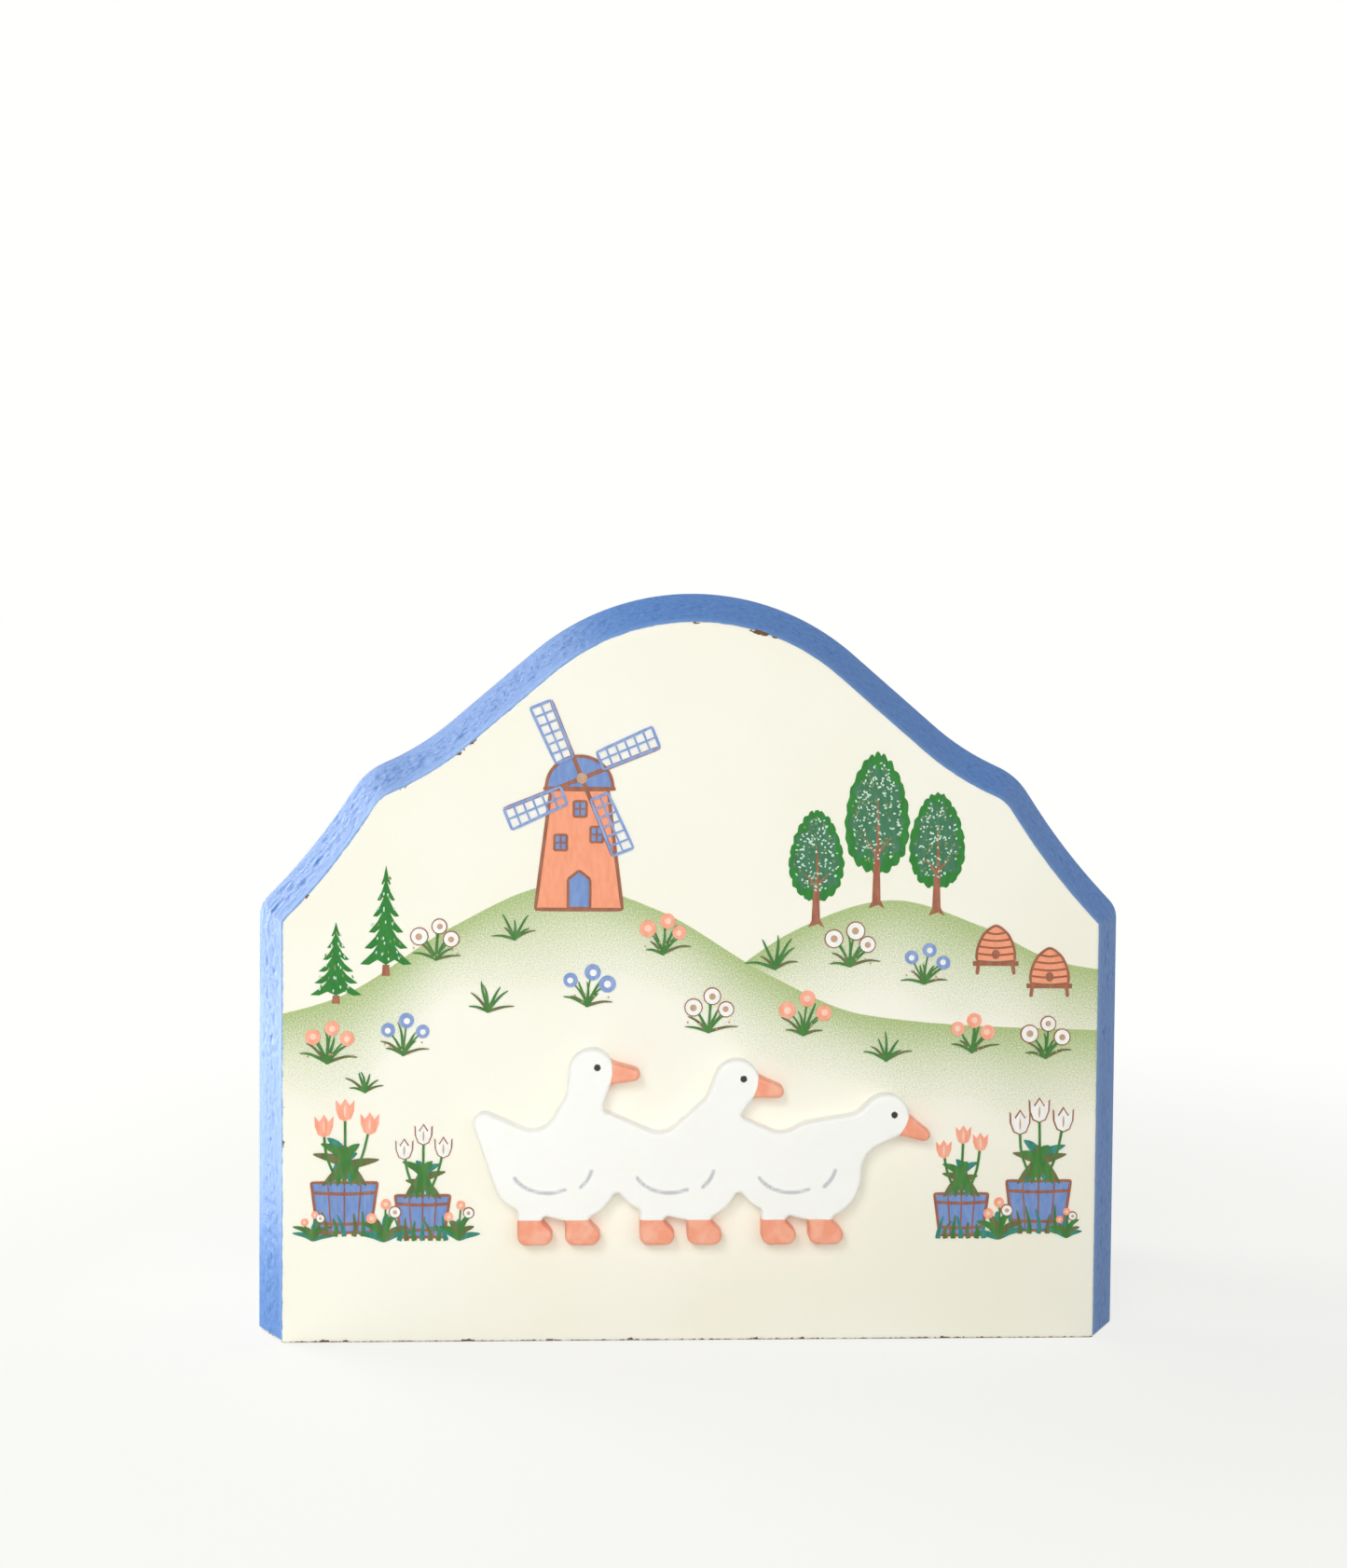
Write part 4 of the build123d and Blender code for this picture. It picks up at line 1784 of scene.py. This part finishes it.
@dataclass(frozen=True)
class Tub:
    """A hooped blue tub of tulips, with grass at its foot."""

    x: float
    z: float
    size: float
    petals: Ink
    foot: float = 3.4
    rim: float = 4.3
    height: float = 6.6
    hoops: Range = (0.2, 0.8)
    fan: LeafFan = LeafFan(
        (Ink.OLIVE, Ink.TEAL, Ink.BLADE), 19, 5, (5.2, 7.6), (0.5, 0.62), (1.15, 0.88), 1.25, 0.946, 0.5
    )
    stems: tuple[Point, ...] = ((-2.9, 7.2), (0.1, 9.2), (3.0, 7.6))
    cup: tuple[Point, ...] = (
        (-1.15, 0.2), (-0.75, -0.85), (0, -1.2), (0.75, -0.85), (1.15, 0.2),
        (1.2, 1.5), (0.6, 0.8), (0, 1.75), (-0.6, 0.8), (-1.2, 1.5),
    )
    cup_lining: Point = (1.18, 1.16)
    grass: tuple[Ink, ...] = (Ink.TEAL, Ink.OLIVE, Ink.BLADE)
    blades: int = 7

    def paint(self, coats: Coats) -> None:
        """Paint the tub, the leaves, the tulips and the grass.

        Args:
            coats: the picture's coats.
        """
        x, z, size = self.x, self.z, self.size
        foot, rim, tall = self.foot * size, self.rim * size, self.height * size
        coats.lined(Ink.BLUE_GROUND, moved(((-foot, 0), (foot, 0), (rim, tall), (-rim, tall)), x, z), 0.46)
        for share in self.hoops:
            half, rise = foot + (rim - foot) * share, tall * share
            coats.stroke(Ink.LINE, moved(((-half, rise), (0, rise - 0.25), (half, rise)), x, z), 0.5)
        for k in (-0.5, 0.0, 0.5):
            coats.stroke(Ink.LINE, moved(((k * foot, 0), (k * rim, tall)), x, z), 0.22)
        self.fan.paint(coats, x, z + tall, size)
        for dx, dz in self.stems:
            self.tulip(coats, z + tall, dx, dz)
        for k in range(self.blades):
            root = x + (k - self.blades // 2) * foot * 0.36
            tip = (root + coats.shake(1.4), z + coats.draw.uniform(1.8, 3.4) * size)
            line = [(root, z - 0.6), (root + coats.shake(0.3), z + 0.8), tip]
            coats.stroke(self.grass[k % len(self.grass)], line, 0.95, Brush.BLADE)

    def tulip(self, coats: Coats, top: float, dx: float, dz: float) -> None:
        """Paint one tulip, lined if it is white.

        Args:
            coats: the picture's coats.
            top: height of the tub's rim.
            dx, dz: where the tulip is from the middle of the rim, before scaling.
        """
        x, size = self.x, self.size
        spot = (x + (dx + coats.shake(0.3)) * size, top + (dz + coats.shake(0.4)) * size)
        stem = [(x + dx * 0.3 * size, top), (x + dx * 0.8 * size, top + dz * 0.5 * size), spot]
        coats.stroke(Ink.BLADE, stem, 0.4)
        if self.petals is Ink.WHITE:
            wide, tall = self.cup_lining
            coats.films[Ink.LINE].blot(moved([(wide * a, tall * b) for a, b in self.cup], *spot, size))
        coats.films[self.petals].blot(moved(self.cup, *spot, size))
        coats.stroke(HEARTS[self.petals], moved(((0, -0.7), (0, 0.9)), *spot, size), 0.3, Brush.LEAF)


@dataclass(frozen=True)
class Clump:
    """A clump of broad leaves with three small blooms."""

    x: float
    z: float
    size: float
    fan: LeafFan = LeafFan(
        (Ink.TEAL, Ink.OLIVE, Ink.BLADE), 22, 6, (3.8, 6.4), (0.45, 0.64), (1.15, 0.86), 1.05
    )
    blooms: tuple[tuple[float, float, Ink], ...] = (
        (-1.9, 4.4, Ink.CORAL), (1.7, 5.2, Ink.WHITE), (0.3, 6.6, Ink.CORAL),
    )
    bloom_radius: float = 0.9
    heart_radius: float = 0.36

    def paint(self, coats: Coats) -> None:
        """Paint the leaves and the blooms.

        Args:
            coats: the picture's coats.
        """
        x, z, size = self.x, self.z, self.size
        self.fan.paint(coats, x, z, size)
        for dx, dz, petals in self.blooms:
            spot = (x + (dx + coats.shake(0.3)) * size, z + (dz + coats.shake(0.3)) * size)
            coats.stroke(Ink.BLADE, [(x, z + 0.5), (x + dx * 0.6, z + dz * 0.6 * size), spot], 0.3)
            coats.bloom(petals, spot, self.bloom_radius * size, spot, self.heart_radius * size)


@dataclass
class Picture:
    """The picture on the front face: a windmill, poplars, firs, hives, tufts, tubs of tulips and clumps."""

    left: Hill
    right: Hill
    mill: Windmill = Windmill(-20.0, 77.0)
    poplars: tuple[Poplar, ...] = (
        Poplar(21.0, 20.0, 9.0), Poplar(31.5, 26.5, 10.6), Poplar(42.0, 21.0, 9.2),
    )
    firs: tuple[Fir, ...] = (Fir(-61.5, 14.0), Fir(-53.0, 19.0))
    hives: tuple[Hive, ...] = (Hive(52.5, 66.5), Hive(62.0, 62.6))
    tufts: tuple[Tuft, ...] = (
        Tuft(-44.5, 66.5, Ink.WHITE), Tuft(-63.0, 48.6, Ink.CORAL), Tuft(-35.5, 57.5),
        Tuft(-50.0, 50.0, Ink.BLUE), Tuft(-5.5, 67.5, Ink.CORAL), Tuft(-18.5, 58.5, Ink.BLUE),
        Tuft(2.5, 54.0, Ink.WHITE), Tuft(14.0, 65.0), Tuft(27.0, 65.5, Ink.WHITE),
        Tuft(19.0, 53.5, Ink.CORAL), Tuft(40.0, 62.5, Ink.BLUE), Tuft(48.5, 50.5, Ink.CORAL),
        Tuft(61.5, 49.5, Ink.WHITE), Tuft(-56.5, 43.6), Tuft(33.5, 49.0), Tuft(-31.0, 70.0),
    )
    tubs: tuple[Tub, ...] = (
        Tub(-60.0, 19.2, 1.32, Ink.CORAL), Tub(-46.6, 18.4, 1.1, Ink.WHITE),
        Tub(47.0, 18.4, 1.1, Ink.CORAL), Tub(60.6, 19.2, 1.32, Ink.WHITE),
    )
    clumps: tuple[Clump, ...] = (
        Clump(-65.4, 17.8, 0.72), Clump(-53.2, 17.6, 1.0), Clump(-40.4, 17.8, 0.9),
        Clump(53.6, 17.6, 1.0), Clump(65.6, 17.8, 0.72),
    )

    def build(self) -> list[Piece]:
        """Paint every motif and make the coats' pieces.

        Returns:
            The pieces.
        """
        coats = Coats()
        self.mill.paint(coats)
        for poplar in self.poplars:
            poplar.paint(coats, self.right)
        for fir in self.firs:
            fir.paint(coats, self.left)
        for motif in self.hives + self.tufts + self.tubs + self.clumps:
            motif.paint(coats)
        return [film.build() for film in coats.films.values()]


@dataclass(frozen=True)
class Lamp:
    """A soft flat lamp that faces the holder and isn't seen itself.

    Its level is the brightness that it gives a white surface that faces it at the holder, at full spread.
    """

    name: str
    place: Place
    size: Point
    level: float
    spread: float = 180.0

    def hang(self, aim: Vector) -> None:
        """Hang the lamp so that it faces a place.

        Args:
            aim: the place, in millimetres.
        """
        light = bpy.data.lights.new(self.name, "AREA")
        light.shape = "RECTANGLE"
        light.size, light.size_y = (side * MM for side in self.size)
        light.spread = math.radians(self.spread)
        way = (Vector(self.place) - aim) * MM
        light.energy = 4 * math.pi * way.length_squared * self.level
        lamp = bpy.data.objects.new(self.name, light)
        lamp.location = Vector(self.place) * MM
        lamp.rotation_euler = way.to_track_quat("Z", "Y").to_euler()
        lamp.visible_camera = False
        bpy.context.scene.collection.objects.link(lamp)


@dataclass
class Studio:
    """Camera at the photograph's viewing angle, soft lamps, a white room and a pale floor.

    Two windows behind at the left light the bevel there, two cards on the table lift what is low, and two
    lamps in front light the face.
    """

    position: Place = (-17.99, -352.0, 107.66)
    pitch: float = 1.921
    yaw: float = 2.525
    roll: float = 0.449
    focal_pixels: float = 2000.0
    image_height: float = 1682.0
    sensor: float = 36.0
    nearest: float = 10.0
    aim: Place = (0.0, 0.0, 65.0)
    lamps: tuple[Lamp, ...] = (
        Lamp("window_back_left", (-365, 238, 150), (360, 300), 0.76),
        Lamp("card_on_table_left", (-130, 10, 27), (70, 50), 0.085, 110.0),
        Lamp("window_high_left", (-610, 330, 760), (400, 400), 0.28),
        Lamp("card_on_table_front", (-70, -235, 40), (200, 80), 0.08),
        Lamp("front_fill", (240, -900, 405), (1400, 500), 0.36),
        Lamp("front_left_key", (-330, -700, 560), (300, 300), 0.21),
    )
    room: float = 0.1
    room_colour: str = "FFFFFD"
    floor_colour: str = "D9D9D2"
    floor_half: float = 3000.0
    floor_white: float = 0.8
    floor_fade: Range = (100.0, 340.0)

    def build(self) -> None:
        """Set the stage and the view settings."""
        self.camera()
        for lamp in self.lamps:
            lamp.hang(Vector(self.aim))
        self.world()
        self.floor()
        bpy.context.scene.view_settings.view_transform = "Standard"

    def camera(self) -> None:
        """Place the camera."""
        pitch, yaw, roll = (math.radians(angle) for angle in (self.pitch, self.yaw, self.roll))
        turn = Matrix.Rotation(-yaw, 3, "Z") @ Matrix.Rotation(-pitch, 3, "X")
        c, s = math.cos(roll), math.sin(roll)
        right, up, ahead = (turn @ Vector(v) for v in ((c, 0, s), (-s, 0, c), (0, 1, 0)))
        lens = bpy.data.cameras.new("camera")
        lens.sensor_width = self.sensor
        lens.lens = self.sensor * self.focal_pixels / self.image_height
        lens.clip_start = self.nearest * MM
        eye = bpy.data.objects.new("camera", lens)
        axes = Matrix((right, up, -ahead)).transposed().to_4x4()
        eye.matrix_world = Matrix.Translation(Vector(self.position) * MM) @ axes
        bpy.context.scene.collection.objects.link(eye)
        bpy.context.scene.camera = eye

    def seen(self, tree: Tree) -> Node:
        """Mark what the eye sees, straight, mirrored or through glass, apart from what lights the holder.

        Args:
            tree: the node tree of the world or of the floor.

        Returns:
            The node that is 1 for such rays and 0 for the rest.
        """
        path = add_node(tree, "LightPath").outputs
        rays = add_node(
            tree, "Math", {0: path["Is Camera Ray"], 1: path["Is Glossy Ray"]}, operation="MAXIMUM"
        )
        return add_node(tree, "Math", {0: rays, 1: path["Is Transmission Ray"]}, operation="MAXIMUM")

    def world(self) -> None:
        """Light the room evenly and show it white."""
        world = bpy.data.worlds.new("white_room")
        bpy.context.scene.world = world
        tree = empty_tree(world)
        strength = add_node(tree, "Mix", {"Factor": self.seen(tree), "A": self.room, "B": 1.0})
        sky = add_node(tree, "Background", {"Color": linear(self.room_colour), "Strength": strength})
        add_node(tree, "OutputWorld", {"Surface": sky})

    def floor(self) -> None:
        """Lay a pale table top that takes the holder's shadow."""
        mesh = bpy.data.meshes.new("floor")
        half = self.floor_half * MM
        corners = [(-half, -half, 0), (half, -half, 0), (half, half, 0), (-half, half, 0)]
        mesh.from_pydata(corners, [], [(0, 1, 2, 3)])
        top = bpy.data.materials.new("pale_table_top")
        tree = empty_tree(top)
        lay = partial(add_node, tree)
        matt = lay("BsdfDiffuse", {"Color": linear(self.floor_colour)})
        glow = lay("Emission", {"Color": linear(self.room_colour), "Strength": 1.0})
        # The table top turns into the white room a little way off, so that it has no far edge.
        place = lay("TexCoord").outputs["Object"]
        away = lay("VectorMath", {0: place}, operation="LENGTH").outputs["Value"]
        start, end = (reach * MM for reach in self.floor_fade)
        ends = {"From Min": start, "From Max": end, "To Min": self.floor_white}
        fade = lay("MapRange", {"Value": away, **ends}, interpolation_type="SMOOTHSTEP")
        share = lay("Math", {0: self.seen(tree), 1: fade}, operation="MULTIPLY")
        mixed = lay("MixShader", {0: share, 1: matt, 2: glow})
        lay("OutputMaterial", {"Surface": mixed})
        mesh.materials.append(top)
        plane = bpy.data.objects.new("floor", mesh)
        bpy.context.scene.collection.objects.link(plane)


def dress_node(name: str, finish: Finish) -> None:
    """Give a CAD node that stays a finish.

    Args:
        name: the node's name.
        finish: its finish.
    """
    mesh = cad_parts[name].data
    mesh.materials.clear()
    mesh.materials.append(finish.material())
    log.info("%s: %s", name, finish.name)


def main() -> None:
    """Build the holder's pieces in order, then the studio."""
    logging.basicConfig(level=logging.INFO, format="%(message)s")
    pictured = PaintedBoard("cream_and_blue_paint_on_mdf_picture", MEADOW)
    plain = PaintedBoard("cream_and_blue_paint_on_mdf_plain")
    Panel("front_panel_painted", "front_panel", -1.0, pictured, 7).build()
    Panel("back_panel_painted", "back_panel", 1.0, plain, 23).build()
    BaseBoard(plain).build()
    GeeseCutout(GooseEnamel("white_enamel_brushed_on_cutout")).build()
    Picture(*MEADOW).build()
    for side in ("front", "back"):
        for place in ("left", "middle", "right"):
            dress_node(f"dowel_{side}_{place}", Beech())
    Studio().build()


if __name__ == "__main__":
    main()
